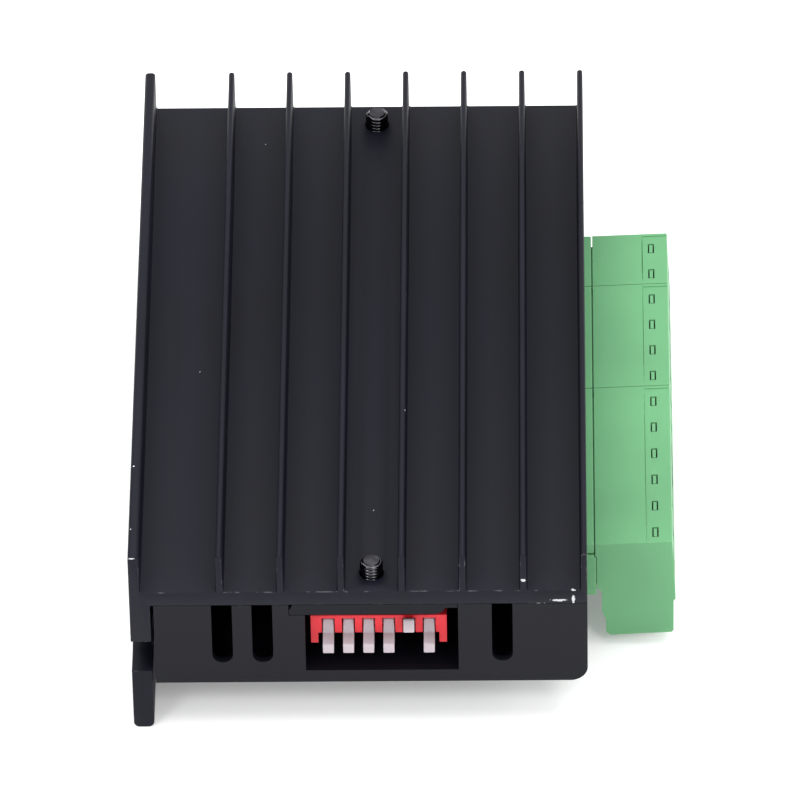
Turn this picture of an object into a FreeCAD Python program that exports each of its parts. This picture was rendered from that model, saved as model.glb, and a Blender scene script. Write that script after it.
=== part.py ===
import FreeCAD, Part
import os
from math import cos, radians, sin, sqrt

# Stepper driver module: an extruded heat sink with a mounting plate, a black cover, a circuit
# board, a piano DIP switch and three pluggable terminal blocks. Millimetres.
# Origin: centre of the mounting face. +X from that face to the terminals, +Y along the module
# away from the switch end, +Z towards the fin tips.

# ---- Driving dimensions -------------------------------------------------------------------
length = 96.0  # of the extrusion and of the cover, along Y
width = 57.5  # from the mounting face to the terminal side
height = 28.7  # of the mounting plate, fin tips to its free edge

# For the modelling itself
over = 1.0  # how far a cutting tool runs past the face it opens
bite = 0.5  # how far a piece reaches into the one it is joined to

# Heat sink
fin_height = 6.0
base_thickness = 2.2
fin_pitch = 7.62
first_channel = 5.0  # least width between the mounting plate and the first fin
fin_tip, fin_root = 0.76, 0.82
fin_fillet = 0.25
plate_thickness = 2.6  # mounting plate below the base
plate_upper_thickness = 1.35  # where it acts as the first fin
ear_drop = 7.5  # plate's free edge below the cover's broad face
ear_radius = 0.8
slot_width = 4.9  # open mounting slot at each end of the plate
slot_depth = 4.0  # end face to the centre of the slot's round end
slot_above_cover_face = 4.5
plate_crest_radius = 0.45
rail_width = 2.0  # rails under the base that the board lies on
rail_left_inset, rail_right_inset, rail_end_gap = 0.2, 0.5, 2.5

# Cover
cover_gap = 0.4  # to the mounting plate
cover_wall = 1.0
cover_floor = 1.8
cover_corner, cover_inner_corner = 2.2, 1.0  # long corner at the terminal side
vent_width = 2.6
vent_depth = 9.6  # from the cover's top edge to the bottom of the round end
vents_before_window = (10.45, 5.38)  # vents' centres before the switch window, along X
vents_after_window = (5.54,)
window_gap_left, window_gap_right = 0.66, 1.45  # switch to the sides of its window
window_sill = 1.95  # above the cover's broad face
notch_clearance = 0.3  # cover to the terminal headers
label_end_margin = 11.0
label_margin_left, label_margin_right = 5.25, 9.25
label_thickness, label_corner = 0.2, 2.0
label_recess_gap, label_recess_depth = 0.3, 0.25
lamp_window_radius = 1.6
lamp_gap, lamp_sink = 0.15, 0.6  # to its window's side, and below the cover's broad face
post_radius, post_inset, post_side_inset = 1.5, 4.0, 2.4
post_before_legs = 16.0

# End brackets and their screws
bracket_before_screw, bracket_after_screw = 10.38, 9.32
bracket_depth = 7.2
bracket_thickness = 1.67
bracket_corner = 1.5
leaf_thickness = 0.65  # the bracket's thin end, which reaches to the window's side
leaf_gap = 0.05
notch_width, notch_height = 0.45, 0.85  # chamfered corner at the bracket's left end
rebate_gap = 0.06  # bracket to the cover
screw_channel = 3  # the screws' fin channel, counted from the terminal side
screw_inset = 3.7  # from each end face
screw_radius, screw_clearance = 1.5, 0.05
screw_stand_out = 2.0  # above the base
screw_chamfer = 0.3
screw_head_radius, screw_head_height = 2.8, 1.4
driver_recess_radius, driver_recess_depth = 0.9, 0.8

# Circuit board
board_thickness = 1.6
board_gap = 1.8  # to the base, the height of the rails
board_clearance = 0.3
board_setback = 7.4  # board's edge behind the switch-end face
hole_clearance = 0.15

# Terminals
pitch = 5.08
ways = (6, 4, 2)  # from the switch end
row_start = 14.85  # from the switch-end face
block_gap = 0.1  # between neighbouring blocks
header_height = 8.5
header_stand_out = 0.9  # beyond the cover's side
header_depth = 8.5
header_wall, header_end_wall = 1.0, 0.7
pin_width = 1.0
pin_bend_setback = 2.4  # upright leg behind the header's back wall
pin_end_setback = 1.2  # pin's end inside the header's mouth
lip, lip_drop = 0.3, 2.2  # the header's lower lip stands out, this far below the board plane
lip_seam = 0.05  # lower lip to the plug
catch_drop, catch_height, catch_depth = 1.45, 0.3, 0.4  # groove in the header's near end
pin_board_stand = 0.9  # above the board's far face
seam = 0.15  # header's mouth to the plug's shoulder
plug_depth = 9.95
plug_height = 15.35
plug_rise = 0.42  # outer edge of the plug's upper face above its shoulder
plug_bulge = 0.25  # wire-entry face proud of the part below it
plug_step_rise, plug_undercut = 6.1, 0.35  # bottom of the bulge above the screw face
plug_upper_corner, plug_outer_corner, plug_inner_corner = 0.2, 0.3, 0.5
plug_back = 1.35  # clamp part's back behind the shoulder
plug_waist = 0.5  # how much nearer the shoulder the back is above its lower part
waist_bottom, waist_top = 2.65, 4.0  # above the screw face
plug_neck_bottom, plug_neck_top = 0.4, 1.2  # above the header's underside
panel_width, panel_depth, panel_margin = 3.45, 0.12, 0.45  # sunk panel along the outer edge
tongue_gap = 0.15
tongue_setback = 0.5  # tongue's end to the header's back wall
socket_gap, socket_depth = 0.75, 1.5  # opening round the pin, and past the shoulder
bar_slot_setback = 1.0  # behind the shoulder
wire_entry_width, wire_entry_height = 3.7, 3.6
wire_entry_drop = 5.0  # wire entry's centre below the board plane
funnel_depth = 1.0
funnel_taper = 0.35
pocket_length, pocket_width, pocket_depth = 1.85, 0.8, 1.3  # test pocket in the upper face
pocket_inset, pocket_offset = 2.3, -0.37  # centre from the outer face, and from its pole
core_gap, core_sink = 0.18, 0.06  # pocket's raised core: gap round it, and top below the face
clamp_inset = 3.6  # clamp screw's axis from the plug's outer face
cage_length, cage_width, cage_height = 4.0, 3.8, 7.2
cage_wall, cage_screw_wall = 0.45, 1.5
cage_gap, cage_end_gap = 0.1, 0.2
cage_travel = 2.0
bar_width, bar_thickness = 2.6, 0.8
bar_rise, bar_side_gap, bar_end_setback = 0.1, 0.05, 0.3
clamp_thread_radius, clamp_thread_gap = 1.45, 0.05
clamp_end_gap = 0.1  # screw's end to the bar
clamp_head_radius, clamp_head_height = 1.9, 1.5
clamp_head_gap = 0.15
clamp_head_sink = 0.5
driver_slot_width, driver_slot_depth = 0.6, 0.7
contact_gap, contact_wall = 0.06, 0.39  # socket to pin, each side, and its sheet
contact_setback, contact_end, contact_bore_end = 0.4, 1.4, 0.6
contact_drop_start, contact_drop_end = 1.05, 1.8  # upright part behind the shoulder

# Piano DIP switch
lever_count = 6
lever_pitch = 2.54
lever_width = 1.38
first_lever_before_screw = 5.55
lever_swing = 50.0  # degrees, about the lever's own pivot
raised_lever = 5  # the one that is in its other position
switch_front = 1.8  # behind the end face
switch_depth = 10.2
switch_row_inset, switch_row_pitch = 0.95, 2.54  # pin rows behind the board's edge
switch_pin_width, switch_pin_foot, switch_pin_stand = 0.4, 1.4, 0.8
switch_pin_room = 0.6  # below its foot
switch_height = 4.55
base_plate_setback, base_plate_thickness, base_plate_gap = 2.2, 0.7, 0.05
switch_end_wall = 0.95
switch_end_margin = 0.95  # housing beyond the end levers' pitch
switch_back_wall = 0.8
switch_roof = 0.5
tooth_height, tooth_depth = 2.85, 0.8  # front teeth between the levers
partition_before_pivot = 0.2
pivot_setback, pivot_drop = 3.84, 2.6  # from the end face, and below the board plane
pivot_radius, pivot_gap = 0.5, 0.05
trunnion_end_gap, trunnion_bore_end_gap = 0.16, 0.06  # to the middle of the partition
hub_radius = 1.15
lever_tip_setback, lever_tip_drop = -0.4, 3.1  # upper tip corner, lever down
lever_tip_thickness = 1.75
lever_droop = 10.0  # degrees, paddle below level when down
lever_edge = 0.2
lever_flat, lever_underside = 2.0, 3.0  # length of the paddle's flat top, and of its underside
lever_web = ((-1.45, 1.45), (-1.0, 1.5), (-0.2, 0.9), (0, -1.1))  # web's (Y, Z) from the pivot
lever_side_gap = 0.13

# Electronics on the board: the upright gaps and sizes are the usual ones for such parts
driver_size, driver_x, driver_height = 12.0, 24.0, 1.2
control_size, control_height = 10.0, 1.4
control_x, control_inset = 18.0, 24.0  # inset from the switch end
regulator_length, regulator_width, regulator_height = 6.5, 6.1, 1.6
regulator_x, regulator_inset = 12.0, 18.0  # inset from the far end
inductor_size, inductor_height, inductor_corner = 8.0, 4.2, 1.2
inductor_x, inductor_inset = 22.0, 16.0
capacitor_radius, capacitor_seat, capacitor_rim = 3.15, 6.6, 0.4
capacitor_x_from_legs = 11.5
capacitor_places = (-18.0, -10.0, 12.0, 20.0)  # along Y
coupler_length, coupler_width, coupler_height = 4.4, 4.0, 2.1
coupler_x_from_legs, coupler_inset, coupler_pitch = 4.5, 3.15, 5.1
coupler_count = 3
dimple_radius, dimple_depth, dimple_share = 0.35, 0.15, 0.35  # pin-one mark on a chip
capacitor_seat_height, capacitor_floor_gap = 0.6, 0.6
resistor_length, resistor_width, resistor_height = 6.4, 3.2, 0.6
resistor_x, resistor_places = 12.7, (-2.4, 5.6)
lamp_places_from_legs, lamp_inset = (5.0, 10.0), 7.0
lamp_body_length, lamp_body_width, lamp_body_height = 3.2, 1.6, 0.8
lamp_stem_bite = 0.1

# ---- Levels and places that follow -------------------------------------------------------
z_top = height / 2
z_plate_edge = -height / 2
z_base_top = z_top - fin_height
z_base = z_base_top - base_thickness
z_cover = z_plate_edge + ear_drop
z_board_top = z_base - board_gap
z_board = z_board_top - board_thickness
y_near, y_far = -length / 2, length / 2
x_cover = plate_thickness + cover_gap
x_mouth = width + header_stand_out
x_header_back = x_mouth - header_depth
x_shoulder = x_mouth + seam
x_plug = x_shoulder + plug_depth
x_leg = x_header_back - pin_bend_setback
x_label_left, x_label_right = x_cover + label_margin_left, width - label_margin_right
x_last_fin = width - fin_root / 2
fin_count = 1 + int((x_last_fin - fin_root / 2 - plate_upper_thickness - first_channel) / fin_pitch)
screw_x = x_last_fin - (screw_channel + 0.5) * fin_pitch
bracket_left, bracket_right = screw_x - bracket_before_screw, screw_x + bracket_after_screw
x_clamp = x_plug - clamp_inset
z_slot = z_cover + slot_above_cover_face
y_row = y_near + row_start
first_lever_x = screw_x - first_lever_before_screw
switch_left = first_lever_x - lever_pitch / 2 - switch_end_margin
switch_right = first_lever_x + (lever_count - 0.5) * lever_pitch + switch_end_margin
window_left, window_right = switch_left - window_gap_left, switch_right + window_gap_right
leaf_right = max(window_right, bracket_right) - leaf_gap
trunnion_length = (lever_pitch - lever_width) / 2 - trunnion_end_gap
z_pin = z_board - header_height / 2
z_wire = z_board - wire_entry_drop
z_bar = z_wire - wire_entry_height / 2 - bar_thickness + bar_rise
z_cage_top = z_wire + wire_entry_height / 2 + cage_wall
z_screw_face = z_board - plug_height


def box(x0, x1, y0, y1, z0, z1):
    """A box between two corners."""
    return Part.makeBox(x1 - x0, y1 - y0, z1 - z0, FreeCAD.Vector(x0, y0, z0))


def cylinder(radius, x, y, z0, z1):
    """An upright cylinder."""
    return Part.makeCylinder(radius, z1 - z0, FreeCAD.Vector(x, y, z0))


def prism_y(points, y0, y1):
    """A closed outline of (x, z) points, drawn out along Y."""
    corners = [FreeCAD.Vector(x, y0, z) for x, z in points]
    face = Part.Face(Part.makePolygon(corners + corners[:1]))
    return face.extrude(FreeCAD.Vector(0, y1 - y0, 0))


def prism_x(points, x0, x1):
    """A closed outline of (y, z) points, drawn out along X."""
    corners = [FreeCAD.Vector(x0, y, z) for y, z in points]
    face = Part.Face(Part.makePolygon(corners + corners[:1]))
    return face.extrude(FreeCAD.Vector(x1 - x0, 0, 0))


def edges_at(shape, axis, spots, reach=0.01):
    """Straight edges along an axis that pass through one of the (a, b) spots across it."""
    across = [i for i in range(3) if i != axis]
    found = []
    for edge in shape.Edges:
        ends = [v.Point for v in edge.Vertexes]
        if len(ends) != 2 or not isinstance(edge.Curve, Part.Line):
            continue
        if any((ends[0] - ends[1])[i] ** 2 > reach**2 for i in across):
            continue
        place = [ends[0][i] for i in across]
        if any(abs(place[0] - a) < reach and abs(place[1] - b) < reach for a, b in spots):
            found.append(edge)
    return found


def join(shapes):
    """One solid from shapes that overlap or touch."""
    whole = shapes[0].multiFuse(shapes[1:]) if len(shapes) > 1 else shapes[0]
    return whole.removeSplitter()


def cut(shape, tools):
    """The shape without the tools."""
    return shape.cut(Part.makeCompound(tools)) if tools else shape


def save(name, solids):
    """Write one node, as one solid or a group of separate solids."""
    solids = solids if isinstance(solids, list) else [solids]
    whole = solids[0] if len(solids) == 1 else Part.makeCompound(solids)
    parts = whole.Solids
    whole = parts[0] if len(parts) == 1 else Part.makeCompound(parts)
    whole.exportStep(f"parts/{name}.step")


# ---- Heat sink and mounting --------------------------------------------------------------
def fin(x, outer_face=None):
    """A tapered fin with a round tip, standing on the base at x."""
    tip, root = fin_tip / 2, fin_root / 2
    top = z_top - tip
    left, right = x - root, x + root
    if outer_face is not None:
        right = outer_face
    upright = prism_y(
        [(left, z_base_top - bite), (right, z_base_top - bite), (x + tip, top), (x - tip, top)],
        y_near,
        y_far,
    )
    crest = Part.makeCylinder(tip, length, FreeCAD.Vector(x, y_near, top), FreeCAD.Vector(0, 1, 0))
    return upright.fuse(crest)


def heat_sink():
    """Extrusion with base, fins, board rails and mounting plate, then slots and screw holes."""
    pieces = [box(0, width, y_near, y_far, z_base, z_base_top)]
    lower = box(0, plate_thickness, y_near, y_far, z_plate_edge, z_base + bite)
    corners = [(0, z_plate_edge), (plate_thickness, z_plate_edge)]
    pieces.append(lower.makeFillet(ear_radius, edges_at(lower, 1, corners)))
    upper = box(0, plate_upper_thickness, y_near, y_far, z_base_top - bite, z_top)
    crest = [(0, z_top), (plate_upper_thickness, z_top)]
    pieces.append(upper.makeFillet(plate_crest_radius, edges_at(upper, 1, crest)))
    for i in range(fin_count):
        pieces.append(fin(x_last_fin - i * fin_pitch, width if i == 0 else None))
    x_left_rail = x_cover + cover_wall + board_clearance + rail_left_inset
    x_right_rail = width - cover_wall - rail_right_inset - rail_width
    y0, y1 = y_near + board_setback, y_far - rail_end_gap
    for x in (x_left_rail, x_right_rail):
        pieces.append(box(x, x + rail_width, y0, y1, z_board_top, z_base + bite))
    body = join(pieces)
    roots = []
    for i in range(fin_count):
        x = x_last_fin - i * fin_pitch
        roots += [(x - fin_root / 2, z_base_top), (x + fin_root / 2, z_base_top)]
    roots.append((plate_upper_thickness, z_base_top))
    concave = [e for e in edges_at(body, 1, roots, 0.06) if e.BoundBox.XMax < width - 0.05]
    body = body.makeFillet(fin_fillet, concave)
    tools = []
    for end, inward in ((y_near, 1), (y_far, -1)):
        centre = end + inward * slot_depth
        radius = slot_width / 2
        tools.append(
            Part.makeCylinder(
                radius,
                plate_thickness + 2 * over,
                FreeCAD.Vector(-over, centre, z_slot),
                FreeCAD.Vector(1, 0, 0),
            )
        )
        y0, y1 = sorted((end - inward * over, centre))
        tools.append(box(-over, plate_thickness + over, y0, y1, z_slot - radius, z_slot + radius))
        y = end + inward * screw_inset
        hole_radius = screw_radius + screw_clearance
        tools.append(cylinder(hole_radius, screw_x, y, z_base - over, z_base_top + over))
    return cut(body, tools)


def end_brackets():
    """The plate under the base at each end that the cover's end wall locates on."""
    plates = []
    for end, inward in ((y_near, 1), (y_far, -1)):
        y0, y1 = sorted((end, end + inward * bracket_depth))
        plate = box(bracket_left, bracket_right, y0, y1, z_base - bracket_thickness, z_base)
        corner = [(bracket_right, z_base - bracket_thickness)]
        plate = plate.makeFillet(bracket_corner, edges_at(plate, 1, corner))
        leaf = box(bracket_right - over, leaf_right, y0, y1, z_base - leaf_thickness, z_base)
        notch = [
            (bracket_left, z_base), (bracket_left + notch_width, z_base),
            (bracket_left, z_base - notch_height),
        ]
        corner_cut = prism_y(notch, y0, y1)
        plate = cut(join([plate, leaf]), [corner_cut])
        y = end + inward * screw_inset
        seat = Part.makeCone(
            screw_head_radius + screw_clearance,
            screw_radius + screw_clearance,
            screw_head_height,
            FreeCAD.Vector(screw_x, y, z_base - bracket_thickness),
        )
        hole_radius = screw_radius + screw_clearance
        hole = cylinder(hole_radius, screw_x, y, z_base - bracket_thickness, z_base + over)
        plates.append(cut(plate, [seat, hole]))
    return plates


def bracket_screws():
    """Countersunk screws from below, whose ends stand out between the fins."""
    screws = []
    z_head = z_base - bracket_thickness
    for y in (y_near + screw_inset, y_far - screw_inset):
        head = Part.makeCone(
            screw_head_radius, screw_radius, screw_head_height, FreeCAD.Vector(screw_x, y, z_head)
        )
        z_end = z_base_top + screw_stand_out
        shank = cylinder(screw_radius, screw_x, y, z_head + screw_head_height - bite, z_end)
        rim = [e for e in shank.Edges if abs(e.BoundBox.ZMin - z_end) < 0.01]
        shank = shank.makeChamfer(screw_chamfer, rim)
        z_recess = z_head + driver_recess_depth
        recess = cylinder(driver_recess_radius, screw_x, y, z_head - over, z_recess)
        screws.append(join([shank, head]).cut(recess))
    return screws


# ---- Cover -------------------------------------------------------------------------------
def vent(x, y0, y1):
    """A slot tool, open at the cover's top edge, with a round lower end."""
    radius = vent_width / 2
    centre = z_base - vent_depth + radius
    round_end = Part.makeCylinder(
        radius, y1 - y0, FreeCAD.Vector(x, y0, centre), FreeCAD.Vector(0, 1, 0)
    )
    return round_end.fuse(box(x - radius, x + radius, y0, y1, centre, z_base + over))


def cover():
    """Tray that closes the electronics: floor, four walls and board posts."""
    tray = box(x_cover, width, y_near, y_far, z_cover, z_base)
    tray = tray.makeFillet(cover_corner, edges_at(tray, 1, [(width, z_cover)]))
    inner_right = width - cover_wall
    room = box(
        x_cover + cover_wall, inner_right, y_near + cover_wall, y_far - cover_wall,
        z_cover + cover_floor, z_base + over,
    )
    edge = edges_at(room, 1, [(inner_right, z_cover + cover_floor)])
    tools = [room.makeFillet(cover_inner_corner, edge)]
    ends = ((y_near - over, y_near + cover_wall + over), (y_far - cover_wall - over, y_far + over))
    vents = [window_left - gap for gap in vents_before_window]
    vents += [window_right + gap for gap in vents_after_window]
    for x in [x for x in vents if x - vent_width > x_cover]:
        tools += [vent(x, y0, y1) for y0, y1 in ends]
    tools.append(box(window_left, window_right, *ends[0], z_cover + window_sill, z_base + over))
    z_rebate = z_base - bracket_thickness - rebate_gap
    z_leaf = z_base - leaf_thickness - rebate_gap
    x0, x1 = bracket_left - rebate_gap, bracket_right + rebate_gap
    for y0, y1 in ends:
        tools.append(box(x0, x1, y0, y1, z_rebate, z_base + over))
        tools.append(box(bracket_right, leaf_right + leaf_gap, y0, y1, z_leaf, z_base + over))
    y0, y1 = y_row - notch_clearance, y_row + sum(ways) * pitch + notch_clearance
    z_notch = z_board - header_height - notch_clearance
    tools.append(box(x_leg - pin_width, width + over, y0, y1, z_notch, z_base + over))
    y_recess = length / 2 - label_end_margin + label_recess_gap
    tools.append(
        box(
            x_label_left - label_recess_gap, x_label_right + label_recess_gap, -y_recess, y_recess,
            z_cover - over, z_cover + label_recess_depth,
        )
    )
    for x, y in lamp_places():
        tools.append(cylinder(lamp_window_radius, x, y, z_cover - over, z_cover + cover_floor + over))
    body = tray.cut(Part.makeCompound(tools))
    posts = []
    for x, y in post_places():
        posts.append(cylinder(post_radius, x, y, z_cover + cover_floor - bite, z_board))
    return join([body] + posts)


def post_places():
    """Where the cover's posts press the board against the rails."""
    near, far = y_near + board_setback + post_inset, y_far - cover_wall - post_inset
    left = x_cover + cover_wall + post_side_inset
    return [(left, near), (left, far), (x_leg - post_before_legs, far)]


def lamp_places():
    """The two indicator lamps, in line across the far end."""
    return [(x_leg - gap, y_far - lamp_inset) for gap in lamp_places_from_legs]


def front_label():
    """Blank label sheet in the recess of the cover's broad face."""
    y_end = length / 2 - label_end_margin
    z_sheet = z_cover + label_recess_depth - label_thickness
    sheet = box(x_label_left, x_label_right, -y_end, y_end, z_sheet, z_sheet + label_thickness)
    corners = [(x, y) for x in (x_label_left, x_label_right) for y in (-y_end, y_end)]
    return sheet.makeFillet(label_corner, edges_at(sheet, 2, corners))


# ---- Electronics -------------------------------------------------------------------------
def pole_places(block):
    """Y of each pole of a terminal block."""
    start = y_row + sum(ways[:block]) * pitch
    return [start + (i + 0.5) * pitch for i in range(ways[block])]


def switch_pins():
    """(x, y) of the switch's board pins: two rows behind the board's edge."""
    y0 = y_near + board_setback + switch_row_inset
    columns = [first_lever_x + i * lever_pitch for i in range(lever_count)]
    return [(x, y0 + row * switch_row_pitch) for row in (0, 1) for x in columns]


def circuit_board():
    """The board, with its plated holes."""
    board = box(
        x_cover + cover_wall + board_clearance, width - cover_wall - board_clearance,
        y_near + board_setback, y_far - cover_wall - board_clearance, z_board, z_board_top,
    )
    places = [(x_leg, y, pin_width) for block in range(len(ways)) for y in pole_places(block)]
    places += [(x, y, switch_pin_width) for x, y in switch_pins()]
    tools = []
    for x, y, size in places:
        radius = size / sqrt(2) + hole_clearance
        tools.append(cylinder(radius, x, y, z_board - over, z_board_top + over))
    return cut(board, tools)


def chip(x, y, size_x, size_y, z0, z1):
    """A moulded chip with a small pin-one dimple on its face away from the board."""
    body = box(x - size_x / 2, x + size_x / 2, y - size_y / 2, y + size_y / 2, z0, z1)
    x_dimple, y_dimple = x - size_x * dimple_share, y + size_y * dimple_share
    return body.cut(cylinder(dimple_radius, x_dimple, y_dimple, z0 - over, z0 + dimple_depth))


def bulk_capacitors():
    """Upright electrolytic cans on the board's component side."""
    cans = []
    z_can = z_cover + cover_floor + capacitor_floor_gap
    x, half = x_leg - capacitor_x_from_legs, capacitor_seat / 2
    for y in capacitor_places:
        seat = box(x - half, x + half, y - half, y + half, z_board - capacitor_seat_height, z_board)
        can = cylinder(capacitor_radius, x, y, z_can, z_board - bite)
        rim = [e for e in can.Edges if abs(e.BoundBox.ZMax - z_can) < 0.01]
        cans.append(join([can.makeFillet(capacitor_rim, rim), seat]))
    return cans


def flat_part(x, y, size_x, size_y, part_height):
    """A plain rectangular part on the board's component side, centred at x and y."""
    half_x, half_y = size_x / 2, size_y / 2
    return box(x - half_x, x + half_x, y - half_y, y + half_y, z_board - part_height, z_board)


def save_electronics():
    """Write the chips, the other board parts and the pad between the driver chip and the base."""
    z_chip = z_board_top + driver_height
    half = driver_size / 2
    save("driver_chip", chip(driver_x, 0, driver_size, driver_size, z_board_top, z_chip))
    save("thermal_pad", box(driver_x - half, driver_x + half, -half, half, z_chip, z_base))
    y = y_near + control_inset
    save("control_chip", chip(control_x, y, control_size, control_size, z_board - control_height, z_board))
    y, z = y_far - regulator_inset, z_board - regulator_height
    save("regulator_chip", chip(regulator_x, y, regulator_length, regulator_width, z, z_board))
    y = y_far - inductor_inset
    inductor = flat_part(inductor_x, y, inductor_size, inductor_size, inductor_height)
    half = inductor_size / 2
    corners = [(inductor_x + i * half, y + j * half) for i in (-1, 1) for j in (-1, 1)]
    save("regulator_inductor", inductor.makeFillet(inductor_corner, edges_at(inductor, 2, corners)))
    save("bulk_capacitors", bulk_capacitors())
    x, z = x_leg - coupler_x_from_legs, z_board - coupler_height
    couplers = []
    for i in range(coupler_count):
        y = y_row + coupler_inset + i * coupler_pitch
        couplers.append(chip(x, y, coupler_length, coupler_width, z, z_board))
    save("optocouplers", couplers)
    resistor = (resistor_length, resistor_width, resistor_height)
    save("sense_resistors", [flat_part(resistor_x, y, *resistor) for y in resistor_places])
    lamps = []
    for x, y in lamp_places():
        z_stem = z_board - lamp_body_height + lamp_stem_bite
        stem = cylinder(lamp_window_radius - lamp_gap, x, y, z_cover + lamp_sink, z_stem)
        foot = flat_part(x, y, lamp_body_length, lamp_body_width, lamp_body_height)
        lamps.append(join([stem, foot]))
    save("status_lamps", lamps)


def header(block):
    """Terminal header housing: a box open towards the plug, with its pins' holes."""
    poles = pole_places(block)
    y0, y1 = poles[0] - pitch / 2 + block_gap / 2, poles[-1] + pitch / 2 - block_gap / 2
    z0 = z_board - header_height
    shell = box(x_header_back, x_mouth, y0, y1, z0, z_board)
    lower_lip = box(x_mouth - bite, x_mouth + lip, y0, y1, z0, z_board - lip_drop)
    cavity = box(
        x_header_back + header_wall, x_mouth + over, y0 + header_end_wall, y1 - header_end_wall,
        z0 + header_wall, z_board - header_wall,
    )
    z_catch = z_board - catch_drop
    catch = box(width, x_mouth + over, y0 - over, y0 + catch_depth, z_catch - catch_height, z_catch)
    half = pin_width / 2
    x0, x1 = x_header_back - over, x_header_back + header_wall + over
    holes = [box(x0, x1, y - half, y + half, z_pin - half, z_pin + half) for y in poles]
    return cut(join([shell, lower_lip]), [cavity, catch] + holes)


def header_pins(block):
    """Bent square pins: along X in the header, then up through the board."""
    half = pin_width / 2
    pins = []
    for y in pole_places(block):
        y0, y1 = y - half, y + half
        level = box(x_leg - half, x_mouth - pin_end_setback, y0, y1, z_pin - half, z_pin + half)
        upright = box(x_leg - half, x_leg + half, y0, y1, z_pin, z_board_top + pin_board_stand)
        pins.append(join([level, upright]))
    return pins


def plug(block):
    """Plug housing: outer body on the profile, tongue, clamp chambers and wire entries."""
    poles = pole_places(block)
    y0, y1 = poles[0] - pitch / 2 + block_gap / 2, poles[-1] + pitch / 2 - block_gap / 2
    z_header = z_board - header_height
    z_step = z_screw_face + plug_step_rise
    x_back, x_lip = x_shoulder + plug_back, x_mouth + lip + lip_seam
    z_outer = z_screw_face + plug_rise  # the screw face slopes as the upper face does
    outline = [
        (x_shoulder, z_board),
        (x_plug - plug_upper_corner, z_board + plug_rise),
        (x_plug + plug_bulge, z_step),
        (x_plug, z_step - plug_undercut),
        (x_plug, z_outer + plug_outer_corner),
        (x_plug - plug_outer_corner, z_outer),
        (x_back + plug_inner_corner, z_screw_face),
        (x_back, z_screw_face + plug_inner_corner),
        (x_back, z_screw_face + waist_bottom),
        (x_back - plug_waist, z_screw_face + waist_top),
        (x_back - plug_waist, z_header + plug_neck_bottom),
        (x_lip, z_header + plug_neck_top),
        (x_lip, z_board - lip_drop + seam),
        (x_shoulder, z_board - lip_drop + seam),
    ]
    body = prism_y(outline, y0, y1)
    tongue = box(
        x_header_back + header_wall + tongue_setback, x_shoulder + over,
        y0 + header_end_wall + tongue_gap, y1 - header_end_wall - tongue_gap,
        z_header + header_wall + tongue_gap, z_board - header_wall - tongue_gap,
    )
    slope = plug_rise / (plug_depth - plug_upper_corner)
    x_panel, x_out = x_plug - panel_width, x_plug + over
    z_panel = z_board - panel_depth + slope * (x_panel - x_shoulder)
    z_out = z_board - panel_depth + slope * (x_out - x_shoulder)
    panel_cut = [(x_panel, z_panel), (x_out, z_out), (x_out, z_out + over), (x_panel, z_out + over)]
    panel = prism_y(panel_cut, y0 + panel_margin, y1 - panel_margin)
    tools = [panel]
    for y in poles:
        tools += plug_pole_tools(y)
    shell = cut(join([body, tongue]), tools)
    return join([shell] + [pocket_core(y) for y in poles])


def plug_pole_tools(y):
    """Everything cut from the plug at one pole."""
    half_x, half_y = cage_length / 2 + cage_gap, cage_width / 2 + cage_gap
    z_chamber = z_cage_top - cage_height - cage_travel - cage_end_gap
    chamber = box(
        x_clamp - half_x, x_clamp + half_x, y - half_y, y + half_y, z_chamber, z_cage_top + cage_end_gap
    )
    head_radius = clamp_head_radius + clamp_head_gap
    head = cylinder(head_radius, x_clamp, y, z_screw_face - over, z_chamber + bite)
    half_w, half_h = wire_entry_width / 2, wire_entry_height / 2
    funnel = box(
        x_plug - funnel_depth, x_plug + over, y - half_w, y + half_w, z_wire - half_h, z_wire + half_h
    )
    half_w, half_h = half_w - funnel_taper, half_h - funnel_taper
    entry = box(x_clamp, x_plug + over, y - half_w, y + half_w, z_wire - half_h, z_wire + half_h)
    x_pocket, y_pocket = x_plug - pocket_inset, y + pocket_offset
    half_x, half_y = pocket_width / 2, pocket_length / 2
    pocket = box(
        x_pocket - half_x, x_pocket + half_x, y_pocket - half_y, y_pocket + half_y,
        z_board - pocket_depth, z_board + over,
    )
    half = pin_width / 2 + socket_gap
    socket = box(
        x_header_back, x_shoulder + socket_depth, y - half, y + half, z_pin - half, z_pin + half
    )
    half_y = bar_width / 2
    bar_slot = box(
        x_shoulder + bar_slot_setback, x_clamp + over, y - half_y, y + half_y, z_bar, z_pin + half
    )
    return [chamber, head, entry, funnel, pocket, socket, bar_slot]


def pocket_core(y):
    """The raised core in one pole's test pocket."""
    x_core, y_core = x_plug - pocket_inset, y + pocket_offset
    half_x, half_y = pocket_width / 2 - core_gap, pocket_length / 2 - core_gap
    return box(
        x_core - half_x, x_core + half_x, y_core - half_y, y_core + half_y,
        z_board - pocket_depth - bite, z_board + plug_rise / 2 - core_sink,
    )


def plug_contacts(block):
    """Socket on the header's pin, and the flat bar that the clamp closes on."""
    inner = pin_width / 2 + contact_gap
    outer = inner + contact_wall
    half_bar = bar_width / 2 - bar_side_gap
    x0 = x_header_back + header_wall + tongue_setback + contact_setback
    x_drop, x_bar_end = x_shoulder + contact_drop_start, x_clamp + cage_length / 2 - bar_end_setback
    contacts = []
    for y in pole_places(block):
        sleeve = box(x0, x_shoulder + contact_end, y - outer, y + outer, z_pin - outer, z_pin + outer)
        bore = box(
            x0 - over, x_shoulder + contact_bore_end, y - inner, y + inner, z_pin - inner, z_pin + inner
        )
        drop = box(x_drop, x_shoulder + contact_drop_end, y - outer, y + outer, z_bar, z_pin + outer)
        bar = box(x_drop, x_bar_end, y - half_bar, y + half_bar, z_bar, z_bar + bar_thickness)
        contacts.append(join([sleeve.cut(bore), drop, bar]))
    return contacts


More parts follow.
